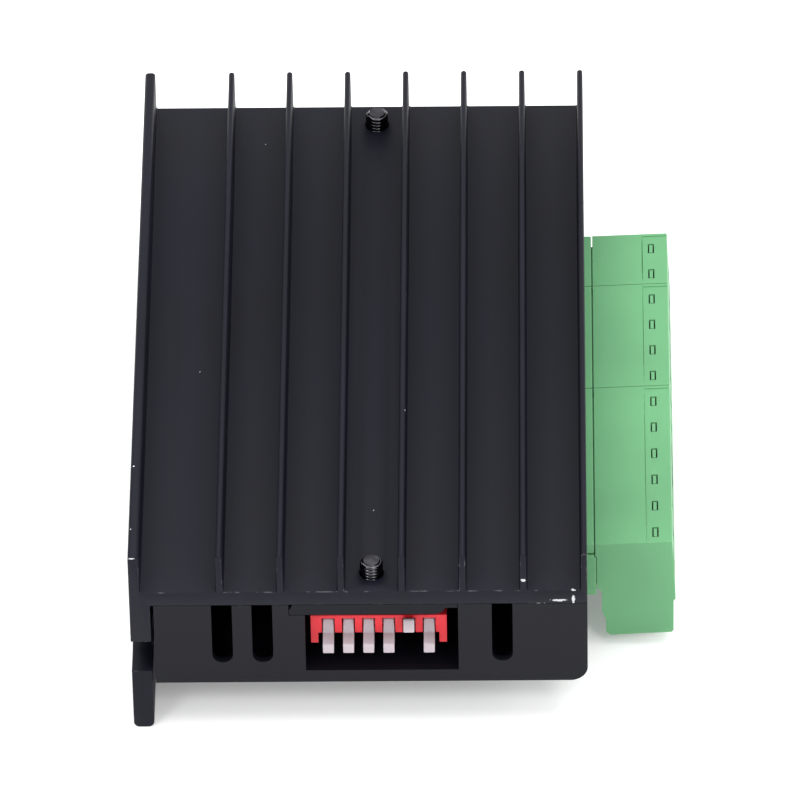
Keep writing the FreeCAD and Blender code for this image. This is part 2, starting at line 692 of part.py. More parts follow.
def clamp_cage(y):
    """Rising cage: a square tube along X whose screw-side wall is threaded."""
    z0 = z_cage_top - cage_height
    half_x, half_y = cage_length / 2, cage_width / 2
    outer = box(x_clamp - half_x, x_clamp + half_x, y - half_y, y + half_y, z0, z_cage_top)
    window = box(
        x_clamp - half_x - over, x_clamp + half_x + over,
        y - half_y + cage_wall, y + half_y - cage_wall, z0 + cage_screw_wall, z_cage_top - cage_wall,
    )
    radius = clamp_thread_radius + clamp_thread_gap
    thread = cylinder(radius, x_clamp, y, z0 - over, z0 + cage_screw_wall + over)
    return cut(outer, [window, thread])


def clamp_screw(y):
    """Slotted clamp screw, head in the plug's screw face, end just short of the bar."""
    z_head = z_screw_face + clamp_head_sink
    head = cylinder(clamp_head_radius, x_clamp, y, z_head, z_head + clamp_head_height)
    shank = cylinder(clamp_thread_radius, x_clamp, y, z_head + bite, z_bar - clamp_end_gap)
    reach, half = clamp_head_radius + over, driver_slot_width / 2
    slot = box(
        x_clamp - reach, x_clamp + reach, y - half, y + half, z_head - over, z_head + driver_slot_depth
    )
    return join([head, shank]).cut(slot)


# ---- Piano DIP switch --------------------------------------------------------------------
def lever_x(number):
    """Centre of a lever, counted from 1 at the mounting plate's side."""
    return first_lever_x + (number - 1) * lever_pitch


def dip_body():
    """Red housing: roof, back and end walls, and partitions that end in the front teeth."""
    y0 = y_near + switch_front
    y1 = y0 + switch_depth
    z0 = z_board - switch_height
    pieces = [
        box(switch_left, switch_right, y0, y1, z_board - switch_roof, z_board),
        box(switch_left, switch_right, y1 - switch_back_wall, y1, z0, z_board),
    ]
    for x in (switch_left, switch_right - switch_end_wall):
        pieces.append(box(x, x + switch_end_wall, y0, y1, z0, z_board))
    z_teeth = z_board - tooth_height
    pivot_y, pivot_z = y_near + pivot_setback, z_board - pivot_drop
    thickness = lever_pitch - lever_width - 2 * lever_side_gap
    outline = [
        (y0, z_board), (y0, z_teeth), (y0 + tooth_depth, z_teeth),
        (pivot_y - partition_before_pivot, z0), (y1, z0), (y1, z_board),
    ]
    for i in range(1, lever_count):
        x = (lever_x(i) + lever_x(i + 1)) / 2
        pieces.append(prism_x(outline, x - thickness / 2, x + thickness / 2))
    first, last = lever_x(1) - lever_width / 2, lever_x(lever_count) + lever_width / 2
    for x0, x1 in ((switch_left, first - lever_side_gap), (last + lever_side_gap, switch_right)):
        pieces.append(prism_x(outline, x0, x1))
    body = join(pieces)
    tools = []
    for i in range(1, lever_count + 1):
        reach = lever_pitch / 2 - trunnion_bore_end_gap
        tools.append(
            Part.makeCylinder(
                pivot_radius + pivot_gap, 2 * reach,
                FreeCAD.Vector(lever_x(i) - reach, pivot_y, pivot_z), FreeCAD.Vector(1, 0, 0),
            )
        )
    half = switch_pin_width / 2 + pivot_gap
    for x, y in switch_pins():
        z0 = z_board - switch_pin_foot - switch_pin_room
        tools.append(box(x - half, x + half, y - half, y + half, z0, z_board + over))
    return cut(body, tools)


def dip_base():
    """Black bottom plate of the switch, between its walls and behind the levers."""
    y0, y1 = y_near + pivot_setback + base_plate_setback, y_near + switch_front + switch_depth
    z1 = z_board - switch_height - base_plate_gap
    return box(switch_left, switch_right, y0, y1, z1 - base_plate_thickness, z1)


def dip_contacts():
    """Board pins in two rows, each with a short foot inside the switch."""
    half = switch_pin_width / 2
    z0, z1 = z_board - switch_pin_foot, z_board_top + switch_pin_stand
    return [box(x - half, x + half, y - half, y + half, z0, z1) for x, y in switch_pins()]


def dip_lever(number):
    """One white lever: hub with trunnions, web and paddle, at its rest position."""
    tip_y, tip_z = y_near + lever_tip_setback, z_board - lever_tip_drop
    pivot_y, pivot_z = y_near + pivot_setback, z_board - pivot_drop
    down = radians(lever_droop)
    along = (cos(down), sin(down))  # from the tip towards the hub
    under = (sin(down), -cos(down))  # from the paddle's top to its underside

    def place(run, drop):
        return (tip_y + run * along[0] + drop * under[0], tip_z + run * along[1] + drop * under[1])

    outline = [
        place(lever_edge, 0),
        place(lever_flat, 0),
        *[(pivot_y + y, pivot_z + z) for y, z in lever_web],
        place(lever_underside, lever_tip_thickness),
        place(lever_edge, lever_tip_thickness),
        place(0, lever_tip_thickness - lever_edge),
        place(0, lever_edge),
    ]
    x = lever_x(number)
    half = lever_width / 2
    paddle = prism_x(outline, x - half, x + half)
    centre = FreeCAD.Vector(x - half, pivot_y, pivot_z)
    hub = Part.makeCylinder(hub_radius, lever_width, centre, FreeCAD.Vector(1, 0, 0))
    trunnion = Part.makeCylinder(
        pivot_radius, lever_width + 2 * trunnion_length,
        FreeCAD.Vector(x - half - trunnion_length, pivot_y, pivot_z), FreeCAD.Vector(1, 0, 0),
    )
    lever = join([paddle, hub, trunnion])
    if number == raised_lever:
        lever.rotate(FreeCAD.Vector(0, pivot_y, pivot_z), FreeCAD.Vector(-1, 0, 0), lever_swing)
    return lever


# ---- Build -------------------------------------------------------------------------------
def main():
    """Write every node."""
    os.makedirs("parts", exist_ok=True)
    save("heat_sink", heat_sink())
    save("end_brackets", end_brackets())
    save("bracket_screws", bracket_screws())
    save("cover", cover())
    save("front_label", front_label())
    save("circuit_board", circuit_board())
    save_electronics()
    save("dip_body", dip_body())
    save("dip_base", dip_base())
    save("dip_contacts", dip_contacts())
    for number in range(1, lever_count + 1):
        save(f"dip_lever_{number}", dip_lever(number))
    number = 0
    for block, count in enumerate(ways):
        save(f"header_{count}way", header(block))
        save(f"header_pins_{count}way", header_pins(block))
        save(f"plug_{count}way", plug(block))
        save(f"plug_contacts_{count}way", plug_contacts(block))
        for y in pole_places(block):
            number += 1
            save(f"clamp_cage_{number}", clamp_cage(y))
            save(f"clamp_screw_{number}", clamp_screw(y))


main()
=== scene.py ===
import logging
import math
from dataclasses import dataclass, field
from enum import Enum
from typing import Any, Callable, Sequence

import bmesh
import bpy
from mathutils import Matrix, Vector


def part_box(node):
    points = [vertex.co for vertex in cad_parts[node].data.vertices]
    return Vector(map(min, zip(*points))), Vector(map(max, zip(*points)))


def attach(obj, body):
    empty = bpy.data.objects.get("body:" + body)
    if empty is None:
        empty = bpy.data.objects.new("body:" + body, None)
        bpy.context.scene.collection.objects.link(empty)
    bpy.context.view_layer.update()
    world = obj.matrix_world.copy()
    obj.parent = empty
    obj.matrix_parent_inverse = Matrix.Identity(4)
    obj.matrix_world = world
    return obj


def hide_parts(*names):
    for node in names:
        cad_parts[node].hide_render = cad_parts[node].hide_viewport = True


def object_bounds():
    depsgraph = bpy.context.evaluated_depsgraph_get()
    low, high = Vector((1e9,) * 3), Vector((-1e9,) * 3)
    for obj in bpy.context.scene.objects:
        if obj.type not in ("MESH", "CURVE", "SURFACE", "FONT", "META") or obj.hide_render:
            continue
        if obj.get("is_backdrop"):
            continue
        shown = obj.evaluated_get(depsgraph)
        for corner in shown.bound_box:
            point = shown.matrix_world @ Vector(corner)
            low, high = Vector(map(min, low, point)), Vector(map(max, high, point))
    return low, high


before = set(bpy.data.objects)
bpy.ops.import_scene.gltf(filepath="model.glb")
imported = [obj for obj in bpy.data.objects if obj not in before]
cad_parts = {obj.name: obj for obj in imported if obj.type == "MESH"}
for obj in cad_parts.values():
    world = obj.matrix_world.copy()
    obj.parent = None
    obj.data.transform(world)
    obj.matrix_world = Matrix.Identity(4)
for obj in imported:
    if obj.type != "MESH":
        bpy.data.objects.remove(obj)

LOG = logging.getLogger("stepper_driver")
MM = 0.001
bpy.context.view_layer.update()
THREAD_ANGLE = 40.0  # degrees; thread flanks are shaded smooth below it
RING = 48  # corners of a turned ring

Point = tuple[float, float]
Place = tuple[float, float, float]
Colour = tuple[float, float, float]


# ---- Shader groups and finishes ----------------------------------------------------------
class Weaver:
    """Adds and links nodes in one shader or geometry tree."""

    def __init__(self, tree: bpy.types.NodeTree) -> None:
        """Args: tree: the node tree to work in."""
        self.tree = tree

    def add(self, kind: str, **settings: Any) -> bpy.types.Node:
        """Add a node.

        Args:
            kind: Blender's name of the node type.
            settings: attributes to set on it.

        Returns:
            The new node.
        """
        node = self.tree.nodes.new(kind)
        for name, value in settings.items():
            setattr(node, name, value)
        return node

    def feed(self, socket: bpy.types.NodeSocket, value: Any) -> None:
        """Link a socket to the input, or set its constant.

        Args:
            socket: the input socket.
            value: another node's output, or a constant.
        """
        if isinstance(value, bpy.types.NodeSocket):
            self.tree.links.new(value, socket)
        else:
            socket.default_value = value

    def calc(self, operation: str, *values: Any) -> bpy.types.NodeSocket:
        """A Math node.

        Args:
            operation: the operation's name, such as MULTIPLY.
            values: its inputs, as sockets or numbers.

        Returns:
            The node's result.
        """
        node = self.add("ShaderNodeMath", operation=operation)
        for socket, value in zip(node.inputs, values):
            self.feed(socket, value)
        return node.outputs[0]

    def vector(self, operation: str, *values: Any) -> bpy.types.NodeSocket:
        """A Vector Math node.

        Args:
            operation: the operation's name.
            values: its inputs, as sockets or triples.

        Returns:
            The vector result, or the number for LENGTH, DISTANCE and DOT_PRODUCT.
        """
        node = self.add("ShaderNodeVectorMath", operation=operation)
        for socket, value in zip(node.inputs, values):
            self.feed(socket, value)
        number = operation in ("LENGTH", "DISTANCE", "DOT_PRODUCT")
        return node.outputs["Value" if number else "Vector"]

    def ramp(self, value: Any, low: float, high: float) -> bpy.types.NodeSocket:
        """A smooth step of a value.

        Args:
            value: the number to step.
            low: where the result is 0.
            high: where the result is 1.

        Returns:
            The result, from 0 to 1.
        """
        node = self.add("ShaderNodeMapRange", interpolation_type="SMOOTHSTEP")
        for name, number in (("Value", value), ("From Min", low), ("From Max", high)):
            self.feed(node.inputs[name], number)
        return node.outputs["Result"]

    def noise(self, vector: Any, scale: Any, detail: float = 2.0) -> bpy.types.NodeSocket:
        """Noise over the surface.

        Args:
            vector: coordinates in metres.
            scale: features per metre.
            detail: octaves added.

        Returns:
            The noise value, about 0.5.
        """
        node = self.add("ShaderNodeTexNoise")
        self.feed(node.inputs["Vector"], vector)
        self.feed(node.inputs["Scale"], scale)
        self.feed(node.inputs["Detail"], detail)
        return node.outputs[0]

    def mix(self, factor: Any, first: Any, second: Any) -> bpy.types.NodeSocket:
        """Mix two colours.

        Args:
            factor: share of the second.
            first: colour at 0.
            second: colour at 1.

        Returns:
            The mixed colour.
        """
        node = self.add("ShaderNodeMix", data_type="RGBA")
        self.feed(node.inputs[0], factor)
        self.feed(node.inputs[6], first)
        self.feed(node.inputs[7], second)
        return node.outputs[2]


@dataclass(frozen=True)
class Effect:
    """A shader node group that several finishes share, built the first time it is used."""

    name: str
    inputs: tuple[tuple[str, str, Any], ...]
    outputs: tuple[str, ...]
    weave: Callable[[Weaver, dict[str, bpy.types.NodeSocket]], dict[str, bpy.types.NodeSocket]]

    def tree(self) -> bpy.types.NodeTree:
        """Returns: the group's node tree."""
        made = bpy.data.node_groups.get(self.name)
        if made:
            return made
        made = bpy.data.node_groups.new(self.name, "ShaderNodeTree")
        for name, kind, value in self.inputs:
            socket = made.interface.new_socket(name, in_out="INPUT", socket_type=f"NodeSocket{kind}")
            if value is not None:
                socket.default_value = value
        for name in self.outputs:
            made.interface.new_socket(name, in_out="OUTPUT", socket_type="NodeSocketFloat")
        weaver = Weaver(made)
        start, end = weaver.add("NodeGroupInput"), weaver.add("NodeGroupOutput")
        given = {name: start.outputs[name] for name, _, _ in self.inputs}
        for name, socket in self.weave(weaver, given).items():
            made.links.new(socket, end.inputs[name])
        return made

    def place(self, weaver: Weaver, **values: Any) -> bpy.types.Node:
        """Put the group into a material.

        Args:
            weaver: the material's weaver.
            values: its inputs, with _ for spaces in the names.

        Returns:
            The group node.
        """
        node = weaver.add("ShaderNodeGroup", node_tree=self.tree())
        for name, value in values.items():
            weaver.feed(node.inputs[name.replace("_", " ")], value)
        return node


def weave_grain(w: Weaver, given: dict[str, Any]) -> dict[str, Any]:
    """Fine surface grain, and a slow drift of tone. Returns: Height and Tone."""
    fine = w.noise(given["Vector"], w.calc("DIVIDE", 1.0, given["Size"]), 3.0)
    slow = w.noise(given["Vector"], w.calc("DIVIDE", 1.0, given["Drift"]), 2.0)
    return {"Height": fine, "Tone": w.calc("SUBTRACT", slow, 0.5)}


def weave_drawn(w: Weaver, given: dict[str, Any]) -> dict[str, Any]:
    """Long die lines along the extrusion's length. Returns: Height and Tone."""
    flat = w.vector("MULTIPLY", given["Vector"], (1.0, 0.006, 1.0))
    fine = w.noise(flat, w.calc("DIVIDE", 1.0, given["Width"]), 2.0)
    broad = w.noise(flat, w.calc("DIVIDE", 0.12, given["Width"]), 1.0)
    height = w.calc("ADD", w.calc("MULTIPLY", fine, 0.6), w.calc("MULTIPLY", broad, 0.4))
    return {"Height": height, "Tone": w.calc("SUBTRACT", broad, 0.5)}


def weave_dust(w: Weaver, given: dict[str, Any]) -> dict[str, Any]:
    """Sparse pale specks, one in a few cells. Returns: Mask."""
    cells = w.add("ShaderNodeTexVoronoi")
    w.feed(cells.inputs["Vector"], given["Vector"])
    w.feed(cells.inputs["Scale"], w.calc("DIVIDE", 1.0, given["Spacing"]))
    share = w.add("ShaderNodeSeparateColor")
    w.feed(share.inputs[0], cells.outputs["Color"])
    chosen = w.calc("LESS_THAN", share.outputs[0], given["Amount"])
    radius = w.calc("MULTIPLY", w.calc("ADD", share.outputs[1], 0.35), given["Speck"])
    near = w.calc("LESS_THAN", cells.outputs["Distance"], radius)
    return {"Mask": w.calc("MULTIPLY", chosen, near)}


def weave_edge_wear(w: Weaver, given: dict[str, Any]) -> dict[str, Any]:
    """Where an outer edge is rubbed, broken up by noise. Returns: Mask."""
    rounded = w.add("ShaderNodeBevel", samples=4)
    w.feed(rounded.inputs["Radius"], given["Radius"])
    flat = w.add("ShaderNodeNewGeometry")
    turn = w.vector("DOT_PRODUCT", rounded.outputs[0], flat.outputs["Normal"])
    edge = w.ramp(w.calc("SUBTRACT", 1.0, turn), 0.02, 0.16)
    patches = w.ramp(w.noise(given["Vector"], 700.0, 4.0), 0.56, 0.68)
    return {"Mask": w.calc("MULTIPLY", w.calc("MULTIPLY", edge, patches), given["Amount"])}


def weave_nick_or_shade(w: Weaver, given: dict[str, Any]) -> dict[str, Any]:
    """One mark at a given place, longer one way than another, ragged outside; it makes knocks, and also lines
    of painted shade. Returns: Mask.
    """
    offset = w.vector("DIVIDE", w.vector("SUBTRACT", given["Vector"], given["Centre"]), given["Spread"])
    ragged = w.calc("MULTIPLY", w.noise(given["Vector"], 5200.0, 3.0), 1.7)
    reach = w.calc("SUBTRACT", w.calc("ADD", ragged, 0.1), w.vector("LENGTH", offset))
    return {"Mask": w.ramp(reach, 0.0, 0.12)}


VECTOR_IN = ("Vector", "Vector", None)
GRAIN = Effect("surface_grain", (VECTOR_IN, ("Size", "Float", 0.0002), ("Drift", "Float", 0.02)),
               ("Height", "Tone"), weave_grain)
DRAWN = Effect("drawn_lines", (VECTOR_IN, ("Width", "Float", 0.0002)), ("Height", "Tone"), weave_drawn)
DUST = Effect(
    "dust_specks",
    (VECTOR_IN, ("Spacing", "Float", 0.004), ("Amount", "Float", 0.1), ("Speck", "Float", 0.02)),
    ("Mask",), weave_dust)
EDGE_WEAR = Effect("edge_wear", (VECTOR_IN, ("Radius", "Float", 0.0002), ("Amount", "Float", 0.5)),
                   ("Mask",), weave_edge_wear)
# Knocks, and also lines of painted shade along the plugs' panel edges.
NICK_OR_SHADE = Effect(
    "nick_or_shade_line",
    (VECTOR_IN, ("Centre", "Vector", (0.0, 0.0, 0.0)), ("Spread", "Vector", (0.0004, 0.0004, 0.0004))),
    ("Mask",), weave_nick_or_shade)


WORN_ROUGHNESS = 0.28
WEAR_RADIUS = 0.22 * MM
DUST_SPACING, DUST_SIZE = 0.0038, 0.022  # cell in metres, and a speck as a share of its cell
DUST_COLOUR = (0.75, 0.76, 0.78, 1.0)


class Texture(Enum):
    """What the surface of a finish is like close up."""

    DRAWN = "drawn"
    SPARKED = "sparked"
    SMOOTH = "smooth"
    BOARD = "board"
    PRINTED = "printed"


@dataclass(frozen=True)
class Finish:
    """A material: its colour, gloss, close-up texture, dust, wear, and painted shade lines."""

    name: str
    slot: str
    colour: Colour
    roughness: float
    texture: Texture = Texture.SMOOTH
    metallic: float = 0.0
    tone: float = 0.12  # share of brightness that drifts over the surface
    drift: float = 0.02
    grain: float = 0.00018  # size of the close-up texture
    depth: float = 0.000004  # height of the close-up texture
    gloss_spread: float = 0.08
    dust: float = 0.0
    wear: float = 0.0
    # Colour under the masks: rubbed bare surface, and on the green plugs painted shade.
    worn_or_shade: Colour = (0.62, 0.62, 0.64)
    coat: float = 0.0
    specular: float = 0.5
    glow: float = 0.0  # share of light that passes just under the surface
    clear: float = 0.0
    # Knocks, and on the green plugs lines of painted shade along the panel edges.
    nicks_and_shade_lines: tuple[tuple[Place, Place], ...] = ()

    def material(self) -> bpy.types.Material:
        """Returns: the material, built the first time."""
        made = bpy.data.materials.get(self.name)
        if made:
            return made
        made = bpy.data.materials.new(self.name)
        made.use_nodes = True
        made.diffuse_color = (*self.colour, 1.0)
        weaver = Weaver(made.node_tree)
        shader = made.node_tree.nodes["Principled BSDF"]
        where = weaver.add("ShaderNodeTexCoord").outputs["Object"]
        height, tone = self.close_up(weaver, where)
        base = self.base_colour(weaver, where, tone)
        rough = weaver.calc(
            "ADD", weaver.calc("MULTIPLY", tone, self.gloss_spread * 2), self.roughness)
        metal: Any = self.metallic
        # Rubbed edges and knocks, and painted shade lines on the plugs, mixed into the colour.
        for mask in self.wear_and_shade_masks(weaver, where):
            base = weaver.mix(mask, base, (*self.worn_or_shade, 1.0))
            change = WORN_ROUGHNESS - self.roughness
            rough = weaver.calc("ADD", rough, weaver.calc("MULTIPLY", mask, change))
            if self.metallic:
                metal = weaver.calc("MAXIMUM", metal, mask)
        if self.dust:
            specks = DUST.place(
                weaver, Vector=where, Spacing=DUST_SPACING, Amount=self.dust, Speck=DUST_SIZE)
            base = weaver.mix(specks.outputs["Mask"], base, DUST_COLOUR)
        weaver.feed(shader.inputs["Base Color"], base)
        weaver.feed(shader.inputs["Roughness"], rough)
        weaver.feed(shader.inputs["Metallic"], metal)
        bump = weaver.add("ShaderNodeBump")
        bump.inputs["Distance"].default_value = self.depth
        weaver.feed(bump.inputs["Height"], height)
        weaver.feed(shader.inputs["Normal"], bump.outputs["Normal"])
        shader.inputs["Coat Weight"].default_value = self.coat
        shader.inputs["Coat Roughness"].default_value = 0.12
        shader.inputs["Specular IOR Level"].default_value = self.specular
        if self.glow:
            shader.inputs["Subsurface Weight"].default_value = self.glow
            shader.inputs["Subsurface Radius"].default_value = (0.0012, 0.0012, 0.0009)
            shader.inputs["Subsurface Scale"].default_value = 1.0
        if self.clear:
            shader.inputs["Transmission Weight"].default_value = self.clear
            shader.inputs["IOR"].default_value = 1.5
        return made

    def close_up(self, weaver: Weaver, where: Any) -> tuple[Any, Any]:
        """The texture's height and its slow tone.

        Args:
            weaver: the material's weaver.
            where: object coordinates.

        Returns:
            Height and tone.
        """
        if self.texture is Texture.DRAWN:
            lines = DRAWN.place(weaver, Vector=where, Width=self.grain)
            fine = GRAIN.place(weaver, Vector=where, Size=self.grain * 0.7, Drift=self.drift)
            height = weaver.calc("ADD", lines.outputs["Height"], fine.outputs["Height"])
            return height, weaver.calc("ADD", lines.outputs["Tone"], fine.outputs["Tone"])
        grain = GRAIN.place(weaver, Vector=where, Size=self.grain, Drift=self.drift)
        height = grain.outputs["Height"]
        if self.texture is Texture.SPARKED:
            pits = weaver.add("ShaderNodeTexVoronoi", feature="SMOOTH_F1")
            weaver.feed(pits.inputs["Vector"], where)
            weaver.feed(pits.inputs["Scale"], 1.0 / self.grain)
            height = weaver.calc("ADD", height, pits.outputs["Distance"])
        return height, grain.outputs["Tone"]

    def base_colour(self, weaver: Weaver, where: Any, tone: Any) -> Any:
        """The colour before wear and dust.

        Args:
            weaver: the material's weaver.
            where: object coordinates.
            tone: slow drift, about 0.

        Returns:
            The colour.
        """
        low = tuple(max(0.0, c * (1 - self.tone * 2)) for c in self.colour)
        high = tuple(min(1.0, c * (1 + self.tone * 2)) for c in self.colour)
        share = weaver.ramp(tone, -0.25, 0.25)
        colour = weaver.mix(share, (*low, 1.0), (*high, 1.0))
        if self.texture is Texture.BOARD:
            colour = weaver.mix(self.tracks(weaver, where), colour, (0.02, 0.22, 0.1, 1.0))
        if self.texture is Texture.PRINTED:
            colour = weaver.mix(self.rules(weaver, where), colour, (0.08, 0.09, 0.11, 1.0))
        return colour

    def tracks(self, weaver: Weaver, where: Any) -> Any:
        """Copper tracks under the mask, as rows of a brick pattern. Returns: a mask."""
        steps = weaver.add("ShaderNodeTexBrick")
        weaver.feed(steps.inputs["Vector"], where)
        weaver.feed(steps.inputs["Scale"], 420.0)
        return weaver.ramp(steps.outputs["Fac"], 0.2, 0.8)

    def rules(self, weaver: Weaver, where: Any) -> Any:
        """Plain ruled panels: a dark band and thin lines, with no lettering. Returns: a mask."""
        split = weaver.add("ShaderNodeSeparateXYZ")
        weaver.feed(split.inputs[0], where)
        across, along = split.outputs[0], split.outputs[1]
        band_start, pitch, line_share, line_start = 29.8 * MM, 5.08 * MM, 0.03, 36.5 * MM
        band = weaver.calc("GREATER_THAN", weaver.calc("ABSOLUTE", along), band_start)
        rows = weaver.calc("FRACT", weaver.calc("DIVIDE", along, pitch))
        middle = weaver.calc("ABSOLUTE", weaver.calc("SUBTRACT", rows, 0.5))
        line = weaver.calc("LESS_THAN", middle, line_share)
        side = weaver.calc("GREATER_THAN", across, line_start)
        return weaver.calc("MAXIMUM", band, weaver.calc("MULTIPLY", line, side))

    def wear_and_shade_masks(self, weaver: Weaver, where: Any) -> list[Any]:
        """Masks of where the surface is rubbed or knocked, and of painted shade along the plugs' panel edges.

        Args:
            weaver: the material's weaver.
            where: object coordinates.

        Returns:
            One mask for each cause.
        """
        masks = []
        if self.wear:
            rubbed = EDGE_WEAR.place(weaver, Vector=where, Radius=WEAR_RADIUS, Amount=self.wear)
            masks.append(rubbed.outputs["Mask"])
        # Knocks, and painted shade lines along the plugs' panel edges.
        for centre, spread in self.nicks_and_shade_lines:
            knock_or_shade = NICK_OR_SHADE.place(weaver, Vector=where, Centre=centre, Spread=spread)
            masks.append(knock_or_shade.outputs["Mask"])
        return masks


def end_nicks() -> tuple[tuple[Place, Place], ...]:
    """Knocks on the extrusion's end at the switch. Returns: the centre and spread of each."""
    low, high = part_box("heat_sink")
    base_top = high.z - HeatSink.fin_height
    base = base_top - HeatSink.base_thickness
    knocks = (
        (high.x - 6.1 * MM, base, 0.35, 0.12), (high.x - 5.4 * MM, base, 0.12, 0.12),
        (high.x - 3.6 * MM, base + 0.55 * MM, 1.0, 0.2), (high.x - 1.75 * MM, base + 0.75 * MM, 0.2, 0.8),
        (high.x - 1.75 * MM, base_top, 0.28, 0.12),
        (high.x - HeatSink.fin_root / 2 - HeatSink.fin_pitch, base_top + 1.7 * MM, 0.3, 0.25),
        (0.5 * MM, high.z - 0.25 * MM, 0.45, 0.14),
    )
    return tuple(((x, low.y, z), (wide * MM, 0.3 * MM, tall * MM)) for x, z, wide, tall in knocks)


def panel_edge_shade_lines() -> tuple[tuple[Place, Place], ...]:
    """Painted shade: dark lines along the plugs' sunk panels, where the panel's step edge holds shade, also
    standing for a dark mould seam. Returns: the centre and spread of each.
    """
    from_outer_face, below_top, reach_down = 3.7 * MM, 0.3 * MM, 2.0 * MM
    shade_lines = []
    for ways, wide in ((6, 0.05), (4, 0.055), (2, 0.08)):
        low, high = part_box(f"plug_{ways}way")
        centre = (high.x - from_outer_face, (low.y + high.y) / 2, high.z - below_top)
        shade_lines.append((centre, (wide * MM, (high.y - low.y) / 2, reach_down)))
    return tuple(shade_lines)


def finishes() -> dict[str, Finish]:
    """Returns: every finish, by its slot in the record."""
    made = (
        Finish("black_anodising", "black_anodised", (0.0062, 0.0066, 0.0122), 0.5, Texture.DRAWN,
               tone=0.1, grain=0.00035, depth=0.000006, dust=0.2, wear=0.35, specular=0.13,
               worn_or_shade=(0.5, 0.5, 0.52), nicks_and_shade_lines=end_nicks()),
        Finish("black_bracket_paint", "black_steel", (0.0045, 0.0048, 0.008), 0.5, Texture.SPARKED,
               specular=0.13, wear=0.04),
        Finish("black_oxide", "black_screws", (0.08, 0.08, 0.09), 0.17, metallic=1.0,
               tone=0.25, drift=0.002, grain=0.00008, wear=0.5, worn_or_shade=(0.75, 0.75, 0.77)),
        Finish("matt_black_moulding", "black_cover", (0.0036, 0.0038, 0.0066), 0.4, Texture.SPARKED,
               grain=0.00016, depth=0.000008, dust=0.16, wear=0.05, worn_or_shade=(0.05, 0.05, 0.055),
               specular=0.15),
        Finish("silver_label_film", "label_sheet", (0.55, 0.56, 0.58), 0.38, Texture.PRINTED,
               tone=0.03, metallic=0.2),
        Finish("green_board_mask", "board_laminate", (0.01, 0.13, 0.06), 0.3, Texture.BOARD, coat=0.5),
        Finish("moulded_chip_resin", "chip_resin", (0.02, 0.02, 0.022), 0.55, Texture.SPARKED),
        Finish("thermal_pad_silicone", "thermal_silicone", (0.35, 0.38, 0.42), 0.8, Texture.SPARKED),
        Finish("sintered_ferrite", "ferrite", (0.06, 0.06, 0.065), 0.7, Texture.SPARKED),
        Finish("capacitor_sleeve", "capacitor_can", (0.7, 0.7, 0.72), 0.3, metallic=1.0),
        Finish("coupler_resin", "opto_resin", (0.6, 0.6, 0.56), 0.5, Texture.SPARKED),
        Finish("resistor_glaze", "resistor_ceramic", (0.05, 0.05, 0.055), 0.25, coat=0.3),
        Finish("lamp_resin", "lamp_lens", (0.3, 0.8, 0.4), 0.15, clear=0.8),
        Finish("red_moulding", "red_plastic", (0.62, 0.018, 0.03), 0.42, tone=0.05, glow=0.2,
               dust=0.05, specular=0.3),
        Finish("black_switch_base", "black_base", (0.012, 0.012, 0.013), 0.5, Texture.SPARKED),
        Finish("tin_plate", "tinned_copper", (0.72, 0.71, 0.69), 0.25, metallic=1.0, tone=0.08),
        Finish("white_moulding", "white_plastic", (0.40, 0.345, 0.375), 0.42, tone=0.04, glow=0.3,
               specular=0.4),
        # The dark green below is painted shade along the plugs' panel edges.
        Finish("green_moulding", "green_plastic", (0.115, 0.325, 0.15), 0.42, Texture.SPARKED, tone=0.04,
               grain=0.00012, depth=0.000004, glow=0.15, dust=0.06, specular=0.3,
               worn_or_shade=(0.03, 0.13, 0.045), nicks_and_shade_lines=panel_edge_shade_lines()),
        Finish("zinc_plate", "plated_screws", (0.62, 0.62, 0.6), 0.3, metallic=1.0, tone=0.1,
               drift=0.003),
        Finish("nickel_plate", "plated_cages", (0.66, 0.63, 0.56), 0.28, metallic=1.0, tone=0.1,
               drift=0.003),
    )
    return {finish.slot: finish for finish in made}


